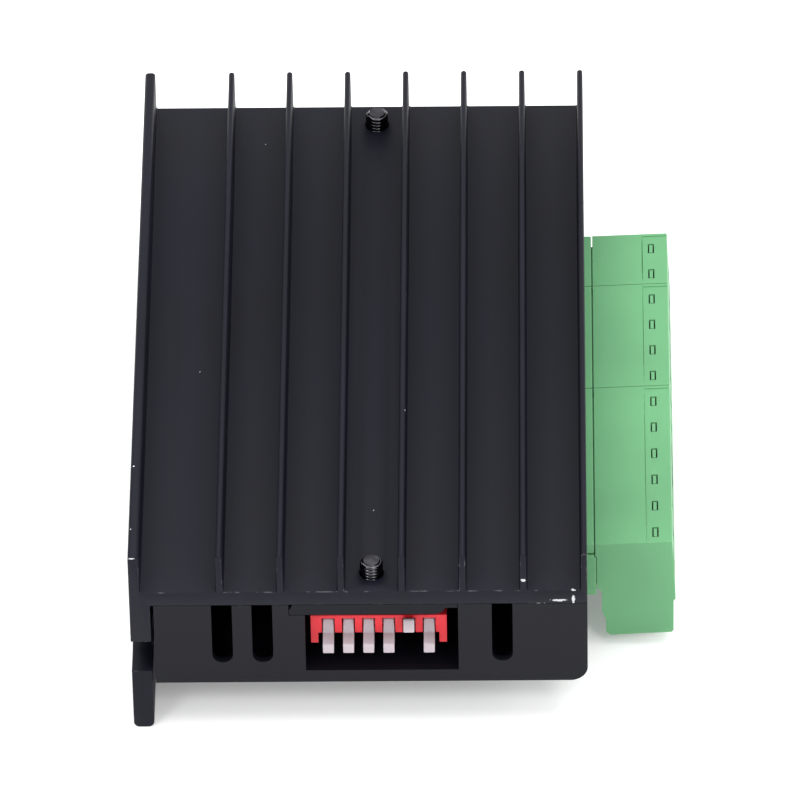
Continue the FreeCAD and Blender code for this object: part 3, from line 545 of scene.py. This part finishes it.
# ---- Geometry trees ----------------------------------------------------------------------
class Recipe:
    """A geometry node tree with named inputs that ends in Realize Instances and Set Material."""

    def __init__(self, name: str, sizes: Sequence[tuple[str, str, Any]], takes_mesh: bool) -> None:
        """Start the tree.

        Args:
            name: the tree's name.
            sizes: name, socket kind and default of each input.
            takes_mesh: whether the object's own mesh is an input.
        """
        self.tree = bpy.data.node_groups.new(name, "GeometryNodeTree")
        face = self.tree.interface
        self.weaver = Weaver(self.tree)
        if takes_mesh:
            face.new_socket("Geometry", in_out="INPUT", socket_type="NodeSocketGeometry")
        for label, kind, value in (*sizes, ("Finish", "Material", None)):
            socket = face.new_socket(label, in_out="INPUT", socket_type=f"NodeSocket{kind}")
            if value is not None:
                socket.default_value = value
        face.new_socket("Geometry", in_out="OUTPUT", socket_type="NodeSocketGeometry")
        self.start = self.weaver.add("NodeGroupInput")

    def given(self, label: str) -> bpy.types.NodeSocket:
        """Returns: the named input."""
        return self.start.outputs[label]

    def node(self, kind: str, settings: dict[str, Any] | None = None, **values: Any) -> bpy.types.Node:
        """Add a geometry node.

        Args:
            kind: the node type.
            settings: attributes to set.
            values: its inputs, with _ for spaces in the names.

        Returns:
            The node.
        """
        made = self.weaver.add(kind, **(settings or {}))
        for name, value in values.items():
            self.weaver.feed(made.inputs[name.replace("_", " ")], value)
        return made

    def close(self, geometry: bpy.types.NodeSocket) -> None:
        """Finish the tree.

        Args:
            geometry: the result before its instances are made real.
        """
        real = self.node("GeometryNodeRealizeInstances", Geometry=geometry)
        painted = self.node(
            "GeometryNodeSetMaterial", Geometry=real.outputs[0], Material=self.given("Finish"))
        end = self.weaver.add("NodeGroupOutput")
        self.tree.links.new(painted.outputs[0], end.inputs[0])

    def cook(self, name: str, mesh: bpy.types.Mesh | None = None, **values: Any) -> bpy.types.Mesh:
        """Run the tree once and keep the result as a plain mesh.

        Args:
            name: the result's name.
            mesh: the object's own mesh, where the tree takes one.
            values: the tree's inputs, with _ for spaces in the names.

        Returns:
            The mesh.
        """
        holder = hang(name, mesh or bpy.data.meshes.new(name))
        modifier = holder.modifiers.new("recipe", "NODES")
        modifier.node_group = self.tree
        sockets = {
            item.name: item.identifier
            for item in self.tree.interface.items_tree
            if item.item_type == "SOCKET" and item.in_out == "INPUT"
        }
        for label, value in values.items():
            modifier[sockets[label.replace("_", " ")]] = value
        return settle(holder, name)


def hang(name: str, data: bpy.types.ID) -> bpy.types.Object:
    """Put an object with this data into the scene. Returns: the object."""
    holder = bpy.data.objects.new(name, data)
    bpy.context.scene.collection.objects.link(holder)
    return holder


def settle(holder: bpy.types.Object, name: str) -> bpy.types.Mesh:
    """Turn an object with modifiers into a plain mesh and remove the object.

    Args:
        holder: the object.
        name: the mesh's name.

    Returns:
        The mesh.
    """
    graph = bpy.context.evaluated_depsgraph_get()
    mesh = bpy.data.meshes.new_from_object(holder.evaluated_get(graph))
    mesh.name = name
    bpy.data.objects.remove(holder)
    return mesh


def row_recipe() -> Recipe:
    """Returns: the tree that repeats the object's own mesh in a straight row."""
    recipe = Recipe("row_of_copies", (("Count", "Int", 2), ("Step", "Vector", (0.0, 0.0, 0.0))), True)
    line = recipe.node("GeometryNodeMeshLine", Count=recipe.given("Count"), Offset=recipe.given("Step"))
    copies = recipe.node(
        "GeometryNodeInstanceOnPoints", Points=line.outputs[0], Instance=recipe.given("Geometry"))
    recipe.close(copies.outputs[0])
    return recipe


def thread_recipe() -> Recipe:
    """Returns: the tree for a threaded shank, a core with a ridge wound along it."""
    recipe = Recipe(
        "threaded_shank",
        (("Core", "Float", 0.00125), ("Ridge", "Float", 0.00025), ("Turns", "Float", 8.0),
         ("Length", "Float", 0.004), ("Place", "Vector", (0.0, 0.0, 0.0))),
        False,
    )
    core = recipe.node(
        "GeometryNodeMeshCylinder", {"fill_type": "NGON"}, Vertices=40,
        Radius=recipe.given("Core"), Depth=recipe.given("Length"))
    coil = recipe.node(
        "GeometryNodeCurveSpiral", Resolution=28, Rotations=recipe.given("Turns"),
        Start_Radius=recipe.given("Core"), End_Radius=recipe.given("Core"),
        Height=recipe.given("Length"))
    tooth = recipe.node(
        "GeometryNodeCurvePrimitiveCircle", {"mode": "RADIUS"}, Resolution=12, Radius=recipe.given("Ridge"))
    ridge = recipe.node(
        "GeometryNodeCurveToMesh", Curve=coil.outputs[0], Profile_Curve=tooth.outputs[0], Fill_Caps=True)
    half = recipe.node("ShaderNodeVectorMath", {"operation": "MULTIPLY"})
    lift = recipe.node("ShaderNodeCombineXYZ", Z=recipe.given("Length"))
    recipe.weaver.feed(half.inputs[0], lift.outputs[0])
    recipe.weaver.feed(half.inputs[1], (0.0, 0.0, 0.5))
    raised = recipe.node("GeometryNodeTransform", Geometry=core.outputs[0], Translation=half.outputs[0])
    both = recipe.node("GeometryNodeJoinGeometry")
    recipe.tree.links.new(raised.outputs[0], both.inputs[0])
    recipe.tree.links.new(ridge.outputs[0], both.inputs[0])
    placed = recipe.node(
        "GeometryNodeTransform", Geometry=both.outputs[0], Translation=recipe.given("Place"))
    recipe.close(placed.outputs[0])
    return recipe


# ---- Mesh helpers ------------------------------------------------------------------------
def arc(x: float, z: float, radius: float, start: float, end: float, steps: int = 8) -> list[Point]:
    """Points round an arc.

    Args:
        x: centre.
        z: centre.
        radius: its radius.
        start: first angle in degrees.
        end: last angle in degrees.
        steps: number of chords.

    Returns:
        The points, both ends included.
    """
    angles = [math.radians(start + (end - start) * i / steps) for i in range(steps + 1)]
    return [(x + radius * math.cos(a), z + radius * math.sin(a)) for a in angles]


def prism(name: str, outline: Sequence[Point], axis: int, low: float, high: float) -> bpy.types.Mesh:
    """A closed outline drawn out along an axis.

    Args:
        name: the mesh's name.
        outline: points on the other two axes, in X, Y, Z order.
        axis: 0, 1 or 2.
        low: where it starts.
        high: where it ends.

    Returns:
        The mesh.
    """
    def corner(point: Point, along: float) -> Vector:
        values = list(point)
        values.insert(axis, along)
        return Vector(values)

    form = bmesh.new()
    face = form.faces.new([form.verts.new(corner(p, low)) for p in outline])
    grown = bmesh.ops.extrude_face_region(form, geom=[face])
    moved = [v for v in grown["geom"] if isinstance(v, bmesh.types.BMVert)]
    step = Vector((0.0, 0.0, 0.0))
    step[axis] = high - low
    bmesh.ops.translate(form, vec=step, verts=moved)
    bmesh.ops.recalc_face_normals(form, faces=form.faces)
    return emit(form, name)


def emit(form: bmesh.types.BMesh, name: str) -> bpy.types.Mesh:
    """Write a bmesh to a new mesh. Returns: the mesh."""
    mesh = bpy.data.meshes.new(name)
    form.to_mesh(mesh)
    form.free()
    return mesh


def soften(holder: bpy.types.Object, width: float, segments: int = 2, angle: float = 35.0) -> None:
    """Round an object's edges and even its shading, with live modifiers.

    Args:
        holder: the object.
        width: the rounding's width.
        segments: facets across it.
        angle: edges flatter than this stay.
    """
    weld = holder.modifiers.new("weld", "WELD")
    weld.merge_threshold = 0.001 * MM
    flat = holder.modifiers.new("flat_faces", "DECIMATE")
    flat.decimate_type = "DISSOLVE"
    flat.angle_limit = math.radians(0.6)
    bevel = holder.modifiers.new("edge_rounding", "BEVEL")
    bevel.width, bevel.segments = width, segments
    bevel.limit_method, bevel.angle_limit = "ANGLE", math.radians(angle)
    bevel.miter_outer = "MITER_ARC"
    bevel.harden_normals = True
    bevel.use_clamp_overlap = True


def smooth(mesh: bpy.types.Mesh, angle: float = 32.0) -> None:
    """Smooth a mesh's shading up to an edge angle in degrees."""
    for face in mesh.polygons:
        face.use_smooth = True
    mesh.set_sharp_from_angle(angle=math.radians(angle))


@dataclass
class Workshop:
    """What every sub-assembly shares: the finishes and the geometry trees."""

    finishes: dict[str, Finish] = field(default_factory=finishes)
    rows: Recipe = field(default_factory=row_recipe)
    threads: Recipe = field(default_factory=thread_recipe)

    def piece(self, name: str, mesh: bpy.types.Mesh, body: str, slot: str, *nodes: str) -> bpy.types.Object:
        """Show a finished mesh as a piece.

        Args:
            name: the piece's name.
            mesh: its mesh, in place.
            body: the body it rides on.
            slot: the record's material slot.
            nodes: the nodes that it stands for.

        Returns:
            The object.
        """
        mesh.materials.clear()
        mesh.materials.append(self.finishes[slot].material())
        for face in mesh.polygons:
            face.material_index = 0
        holder = hang(name, mesh)
        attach(holder, body)
        if nodes:
            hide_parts(*nodes)
        LOG.info("made %s with %d faces", name, len(mesh.polygons))
        return holder

    def dress(self, node: str, slot: str, rounding: float = 0.0, segments: int = 2) -> None:
        """Give a node its finish, and round its edges.

        Args:
            node: the node's name.
            slot: the record's material slot.
            rounding: edge rounding in metres, or 0 for none.
            segments: facets across the rounding.
        """
        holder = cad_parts[node]
        material = self.finishes[slot].material()
        if not holder.material_slots:
            holder.data.materials.append(material)
        for place in holder.material_slots:
            place.material = material
        if rounding:
            soften(holder, rounding, segments)
        LOG.info("dressed %s in %s", node, material.name)


# ---- Sub-assemblies ----------------------------------------------------------------------
@dataclass
class HeatSink:
    """The extruded base, fins, board rails and mounting plate."""

    shop: Workshop
    fin_height = 6.0 * MM
    base_thickness = 2.2 * MM
    fin_count = 7
    fin_pitch = 7.62 * MM
    fin_tip, fin_root = 0.76 * MM, 0.82 * MM
    root_fillet = 0.25 * MM
    root_steps, crest_steps = 6, 5  # chords round a fin's root and round a crest
    plate, upper_plate = 2.6 * MM, 1.35 * MM
    ear_radius = 0.8 * MM
    crest_radius = 0.45 * MM
    rail_width, rail_height = 2.0 * MM, 1.8 * MM
    left_rail, right_rail = 4.5 * MM, 1.5 * MM  # from the mounting face, and from the other side
    rail_start, rail_end = 7.4 * MM, 2.5 * MM  # from the two end faces
    slot_width, slot_depth, slot_height = 4.9 * MM, 4.0 * MM, 12.0 * MM
    screw_inset, screw_hole = 3.7 * MM, 1.55 * MM
    edge = 0.1 * MM

    def fin_side(self, x: float, base: float, top: float, side: int) -> list[Point]:
        """One flank of a fin, from its flared root to its tip.

        Args:
            x: the fin's centre.
            base: level of the base's top.
            top: level of the fin's tip.
            side: 1 for the right flank, -1 for the left.

        Returns:
            The points from the root up.
        """
        start, end = (270, 180) if side > 0 else (-90, 0)
        flare = arc(x + side * (self.fin_root / 2 + self.root_fillet), base + self.root_fillet,
                    self.root_fillet, start, end, self.root_steps)
        half = self.fin_tip / 2
        crown = (0, 80) if side > 0 else (180, 100)
        return flare + arc(x, top - half, half, *crown, steps=self.crest_steps)

    def fin_outline(self, x: float, base: float, top: float) -> list[Point]:
        """The closed outline of one fin, its foot sunk in the base. Returns: the points."""
        right = self.fin_side(x, base, top, 1)
        left = self.fin_side(x, base, top, -1)
        sunk = base - self.base_thickness / 2
        return [(left[0][0], sunk), (right[0][0], sunk), *right, *reversed(left)]

    def body_outline(self, low: Vector, high: Vector, base_top: float) -> list[Point]:
        """The cross-section without the inner fins. Returns: the points."""
        base = base_top - self.base_thickness
        width, r = high.x, self.ear_radius
        points = arc(r, low.z + r, r, 180, 270) + arc(self.plate - r, low.z + r, r, 270, 360)
        points.append((self.plate, base))
        last = width - self.fin_root / 2
        points += [(width, base), (width, base_top)]
        half = self.fin_tip / 2
        points += arc(last, high.z - half, half, 0, 180, 10)
        points += reversed(self.fin_side(last, base_top, high.z, -1)[:self.root_steps + 1])
        points += arc(self.upper_plate + self.root_fillet, base_top + self.root_fillet,
                      self.root_fillet, 270, 180, self.root_steps)
        c = self.crest_radius
        points += arc(self.upper_plate - c, high.z - c, c, 0, 90, self.crest_steps)
        points += arc(c, high.z - c, c, 90, 180, self.crest_steps)
        return points

    def cutters(self, low: Vector, high: Vector, base_top: float) -> list[bpy.types.Mesh]:
        """What is cut away: the open slots of the plate and the screw holes. Returns: meshes."""
        radius, level = self.slot_width / 2, low.z + self.slot_height
        stadium = arc(low.y - self.slot_depth, level, radius, 90, 270, 24)
        stadium += arc(low.y + self.slot_depth, level, radius, -90, 90, 24)
        slot = prism("slot_cutter", stadium, 0, -MM, self.plate + 0.3 * MM)
        y = low.y + self.screw_inset
        left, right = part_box("bracket_screws")
        ring = arc((left.x + right.x) / 2, y, self.screw_hole, 0, 352.5, 47)
        hole = prism("hole_cutter", ring, 2, base_top - 4 * MM, base_top + MM)
        length = high.y - low.y
        finish = self.shop.finishes["black_anodised"].material()
        return [
            self.shop.rows.cook("slots", slot, Count=2, Step=(0.0, length, 0.0), Finish=finish),
            self.shop.rows.cook(
                "holes", hole, Count=2, Step=(0.0, length - 2 * self.screw_inset, 0.0), Finish=finish),
        ]

    def build(self) -> None:
        """Make the heat sink as one closed mesh."""
        low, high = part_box("heat_sink")
        base_top = high.z - self.fin_height
        body = prism("heat_sink_body", self.body_outline(low, high, base_top), 1, low.y, high.y)
        first = high.x - self.fin_root / 2 - (self.fin_count - 1) * self.fin_pitch
        fin = prism("fin", self.fin_outline(first, base_top, high.z), 1, low.y, high.y)
        finish = self.shop.finishes["black_anodised"].material()
        fins = self.shop.rows.cook(
            "fins", fin, Count=self.fin_count - 1, Step=(self.fin_pitch, 0.0, 0.0), Finish=finish)
        foot, root = base_top - self.base_thickness - self.rail_height, base_top - self.base_thickness / 2
        left, right = self.left_rail, high.x - self.right_rail - self.rail_width
        outline = ((left, root), (left, foot), (left + self.rail_width, foot), (left + self.rail_width, root))
        rail = prism("board_rail", outline, 1, low.y + self.rail_start, high.y - self.rail_end)
        rails = self.shop.rows.cook("rails", rail, Count=2, Step=(right - left, 0.0, 0.0), Finish=finish)
        cutters = self.cutters(low, high, base_top)
        mesh = combine("heat_sink_extrusion", body, [fins, rails], cutters, self.edge)
        self.shop.piece("heat_sink_extrusion", mesh, "module", "black_anodised", "heat_sink")


def combine(
    name: str, body: bpy.types.Mesh, added: Sequence[bpy.types.Mesh],
    removed: Sequence[bpy.types.Mesh], edge: float,
) -> bpy.types.Mesh:
    """Join and cut closed meshes, then round the sharp edges.

    Args:
        name: the result's name.
        body: the main mesh.
        added: meshes to join to it.
        removed: meshes to cut from it.
        edge: the rounding's width, or 0.

    Returns:
        The mesh.
    """
    holder = hang(name, body)
    tools = []
    for mesh, operation in [(m, "UNION") for m in added] + [(m, "DIFFERENCE") for m in removed]:
        tool = hang(f"{name}_tool", mesh)
        tools.append(tool)
        modifier = holder.modifiers.new(operation, "BOOLEAN")
        modifier.operation, modifier.solver, modifier.object = operation, "EXACT", tool
    if edge:
        soften(holder, edge)
        holder.modifiers["edge_rounding"].use_clamp_overlap = False
        holder.modifiers["edge_rounding"].harden_normals = False
    result = settle(holder, name)
    for tool in tools:
        bpy.data.objects.remove(tool)
    smooth(result)
    return result


@dataclass
class BracketScrews:
    """The countersunk screws whose threaded ends stand between the fins."""

    shop: Workshop
    thread_pitch = 0.5 * MM
    core, ridge = 1.2 * MM, 0.28 * MM
    tip_radius, tip_chamfer, tip_neck = 0.99 * MM, 0.26 * MM, 0.4 * MM
    head_height, head_rim = 1.4 * MM, 0.15 * MM
    tip_dish = 0.02 * MM  # how far the end face is hollow
    recess_radius, recess_depth = 0.9 * MM, 0.8 * MM

    def build(self) -> None:
        """Make both screws as one piece."""
        low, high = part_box("bracket_screws")
        radius = (high.x - low.x) / 2
        x = (low.x + high.x) / 2
        finish = self.shop.finishes["black_screws"].material()
        length = high.z - low.z - self.head_height - self.tip_chamfer
        form = bmesh.new()
        for y in (low.y + radius, high.y - radius):
            shank = self.shop.threads.cook(
                "shank", Core=self.core, Ridge=self.ridge, Turns=length / self.thread_pitch,
                Length=length, Place=(x, y, low.z + self.head_height), Finish=finish)
            form.from_mesh(shank)
            bpy.data.meshes.remove(shank)
            self.head(form, x, y, low.z, radius)
            self.tip(form, x, y, high.z)
        mesh = emit(form, "threaded_bracket_screws")
        smooth(mesh, THREAD_ANGLE)
        self.shop.piece("threaded_bracket_screws", mesh, "module", "black_screws", "bracket_screws")

    def head(self, form: bmesh.types.BMesh, x: float, y: float, z: float, radius: float) -> None:
        """Add a countersunk head with a hexagon recess.

        Args:
            form: the bmesh to add to.
            x: the axis.
            y: the axis.
            z: the head's flat face.
            radius: the head's radius.
        """
        rings = ((self.recess_radius, self.recess_depth, 6), (self.recess_radius, 0.0, 6),
                 (radius, 0.0, RING), (radius, self.head_rim, RING), (self.core, self.head_height, RING))
        spin(form, x, y, z, rings)

    def tip(self, form: bmesh.types.BMesh, x: float, y: float, z: float) -> None:
        """Add the chamfered end.

        Args:
            form: the bmesh to add to.
            x: the axis.
            y: the axis.
            z: the end face.
        """
        rings = ((self.core, -self.tip_neck, RING), (self.core, -self.tip_chamfer, RING),
                 (self.tip_radius, 0.0, RING), (self.tip_radius * 0.4, -self.tip_dish, RING))
        spin(form, x, y, z, rings)


def spin(
    form: bmesh.types.BMesh, x: float, y: float, z: float, rings: Sequence[tuple[float, float, int]],
) -> None:
    """Add a closed turned shape about an upright axis.

    Args:
        form: the bmesh to add to.
        x: the axis.
        y: the axis.
        z: level that the rings' heights count from.
        rings: radius, height and number of corners of each ring, from end to end.
    """
    count = max(number for _, _, number in rings)
    loops = []
    for radius, height, corners in rings:
        loop = []
        for i in range(count):
            turn = 2 * math.pi * i / count
            sector = math.pi / corners
            shrink = math.cos(sector) / math.cos((turn % (2 * sector)) - sector) if corners < count else 1.0
            reach = radius * shrink
            loop.append(form.verts.new((x + reach * math.cos(turn), y + reach * math.sin(turn), z + height)))
        loops.append(loop)
    made = []
    for lower, upper in zip(loops, loops[1:]):
        for i in range(count):
            j = (i + 1) % count
            made.append(form.faces.new((lower[i], lower[j], upper[j], upper[i])))
    made.append(form.faces.new(list(reversed(loops[0]))))
    made.append(form.faces.new(loops[-1]))
    bmesh.ops.recalc_face_normals(form, faces=made)


@dataclass
class Cover:
    """The black cover, its label and the brackets that locate it."""

    shop: Workshop

    def build(self) -> None:
        """Dress the cover, the end brackets and the label."""
        self.shop.dress("cover", "black_cover", 0.12 * MM)
        self.shop.dress("end_brackets", "black_steel", 0.1 * MM)
        self.shop.dress("front_label", "label_sheet", 0.04 * MM)


@dataclass
class SwitchBank:
    """The piano switch: body, base, pins and levers."""

    shop: Workshop
    lever_count: int = 6

    def build(self) -> None:
        """Dress the switch's pieces."""
        self.shop.dress("dip_body", "red_plastic", 0.06 * MM)
        self.shop.dress("dip_base", "black_base", 0.06 * MM)
        self.shop.dress("dip_contacts", "tinned_copper")
        for number in range(1, self.lever_count + 1):
            self.shop.dress(f"dip_lever_{number}", "white_plastic", 0.14 * MM, 3)


@dataclass
class TerminalRow:
    """Three headers, their plugs, and the clamp screws and cages in the plugs."""

    shop: Workshop
    ways: tuple[int, ...] = (6, 4, 2)
    thread_pitch = 0.5 * MM
    ridge = 0.22 * MM
    thread_radius = 1.45 * MM
    slot_width, slot_depth, slot_reach = 0.6 * MM, 0.7 * MM, 3.0 * MM
    head_height, head_chamfer, head_edge = 1.5 * MM, 0.15 * MM, 0.06 * MM

    def build(self) -> None:
        """Dress the housings and make the clamp screws."""
        number = 0
        for ways in self.ways:
            self.shop.dress(f"header_{ways}way", "green_plastic", 0.1 * MM)
            self.shop.dress(f"header_pins_{ways}way", "tinned_copper", 0.08 * MM)
            self.shop.dress(f"plug_{ways}way", "green_plastic", 0.12 * MM)
            self.shop.dress(f"plug_contacts_{ways}way", "tinned_copper", 0.05 * MM)
            for _ in range(ways):
                number += 1
                self.shop.dress(f"clamp_cage_{number}", "plated_cages", 0.1 * MM)
                self.clamp_screw(number)

    def clamp_screw(self, number: int) -> None:
        """Make one slotted clamp screw with a threaded shank.

        Args:
            number: its number along the row.
        """
        node = f"clamp_screw_{number}"
        low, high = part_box(node)
        x, y = (low.x + high.x) / 2, (low.y + high.y) / 2
        radius = (high.x - low.x) / 2
        finish = self.shop.finishes["plated_screws"].material()
        form = bmesh.new()
        rings = ((radius - self.head_chamfer, 0.0, RING), (radius, self.head_chamfer, RING),
                 (radius, self.head_height, RING))
        spin(form, x, y, low.z, rings)
        head = emit(form, "clamp_head")
        half, reach = self.slot_width / 2, self.slot_reach
        outline = ((x - reach, y - half), (x + reach, y - half), (x + reach, y + half), (x - reach, y + half))
        slot = prism("driver_slot", outline, 2, low.z - MM, low.z + self.slot_depth)
        head = combine("clamp_head", head, [], [slot], self.head_edge)
        length = high.z - low.z - self.head_height
        shank = self.shop.threads.cook(
            "clamp_shank", Core=self.thread_radius - self.ridge, Ridge=self.ridge,
            Turns=length / self.thread_pitch, Length=length,
            Place=(x, y, low.z + self.head_height), Finish=finish)
        form = bmesh.new()
        form.from_mesh(head)
        form.from_mesh(shank)
        mesh = emit(form, f"slotted_clamp_screw_{number}")
        smooth(mesh, THREAD_ANGLE)
        self.shop.piece(f"slotted_clamp_screw_{number}", mesh, f"screw_{number}", "plated_screws", node)


@dataclass
class Electronics:
    """The board and what stands on it."""

    shop: Workshop

    def build(self) -> None:
        """Dress the board and its components."""
        for node, slot, rounding in (
            ("circuit_board", "board_laminate", 0.0), ("driver_chip", "chip_resin", 0.08),
            ("thermal_pad", "thermal_silicone", 0.1), ("control_chip", "chip_resin", 0.08),
            ("regulator_chip", "chip_resin", 0.08), ("regulator_inductor", "ferrite", 0.2),
            ("bulk_capacitors", "capacitor_can", 0.15), ("optocouplers", "opto_resin", 0.08),
            ("sense_resistors", "resistor_ceramic", 0.06), ("status_lamps", "lamp_lens", 0.1),
        ):
            self.shop.dress(node, slot, rounding * MM)


@dataclass
class Studio:
    """The pale floor, soft lights and camera."""

    distance = 1.463
    elevation, azimuth, roll = 40.7, 1.365, 1.294
    lens = 510.4
    target: Place = (0.0285, 0.0, 0.00015)
    aim_right, aim_up = 0.00509, -0.00111  # what the middle of the view is off the target

    def camera(self) -> None:
        """Place the long-lens camera."""
        turn, lift = math.radians(self.azimuth), math.radians(self.elevation)
        back = Vector((math.sin(turn) * math.cos(lift), -math.cos(turn) * math.cos(lift), math.sin(lift)))
        right = Vector((math.cos(turn), math.sin(turn), 0.0))
        up = back.cross(right)
        lean = math.radians(self.roll)
        across = right * math.cos(lean) - up * math.sin(lean)
        upward = right * math.sin(lean) + up * math.cos(lean)
        place = Vector(self.target) + back * self.distance
        aim = Vector(self.target) + across * self.aim_right + upward * self.aim_up
        look = (place - aim).normalized()
        side = upward.cross(look).normalized()
        top = look.cross(side)
        data = bpy.data.cameras.new("camera")
        data.lens, data.sensor_width = self.lens, 36.0
        data.clip_start, data.clip_end = 0.1, 20.0
        holder = hang("camera", data)
        turned = Matrix((side, top, look)).transposed().to_4x4()
        holder.matrix_world = Matrix.Translation(place) @ turned
        bpy.context.scene.camera = holder

    def light(self, name: str, place: Place, size: float, power: float) -> None:
        """Add a soft square light that faces the object.

        Args:
            name: its name.
            place: where it hangs.
            size: its side.
            power: in watts.
        """
        data = bpy.data.lights.new(name, "AREA")
        data.size, data.energy = size, power
        holder = hang(name, data)
        holder.location = place
        holder.rotation_euler = (Vector(self.target) - Vector(place)).to_track_quat("-Z", "Y").to_euler()

    def floor(self, level: float) -> None:
        """Lay the pale floor.

        Args:
            level: its height.
        """
        form = bmesh.new()
        bmesh.ops.create_grid(form, x_segments=1, y_segments=1, size=6.0)
        for vert in form.verts:
            vert.co.z = level
        floor = hang("floor", emit(form, "floor"))
        material = bpy.data.materials.new("pale_floor")
        material.use_nodes = True
        shader = material.node_tree.nodes["Principled BSDF"]
        shader.inputs["Base Color"].default_value = (0.93, 0.93, 0.93, 1.0)
        shader.inputs["Roughness"].default_value = 0.9
        shader.inputs["Emission Color"].default_value = (1.0, 1.0, 1.0, 1.0)
        shader.inputs["Emission Strength"].default_value = 0.2
        floor.data.materials.append(material)
        floor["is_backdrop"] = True

    def build(self) -> None:
        """Set up the whole studio."""
        self.camera()
        self.light("overhead", (0.05, 0.15, 1.3), 1.4, 16.0)
        self.light("front_left", (-0.6, -0.9, 1.05), 0.3, 3.6)
        self.light("front_right", (0.6, -0.9, 1.05), 0.3, 3.6)
        self.light("right", (1.2, -0.3, 0.6), 0.9, 5.0)
        world = bpy.data.worlds.new("studio")
        world.use_nodes = True
        backdrop = world.node_tree.nodes["Background"]
        backdrop.inputs[0].default_value = (1.0, 1.0, 1.0, 1.0)
        backdrop.inputs[1].default_value = 0.9
        bpy.context.scene.world = world
        bpy.context.scene.view_settings.view_transform = "Standard"
        self.floor(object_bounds()[0].z - 0.02 * MM)


def main() -> None:
    """Build every sub-assembly in order, then the studio."""
    logging.basicConfig(level=logging.INFO, format="%(message)s")
    shop = Workshop()
    for assembly in (
        HeatSink(shop), BracketScrews(shop), Cover(shop), SwitchBank(shop), TerminalRow(shop),
        Electronics(shop), Studio(),
    ):
        LOG.info("building %s", type(assembly).__name__)
        assembly.build()


if __name__ == "__main__":
    main()
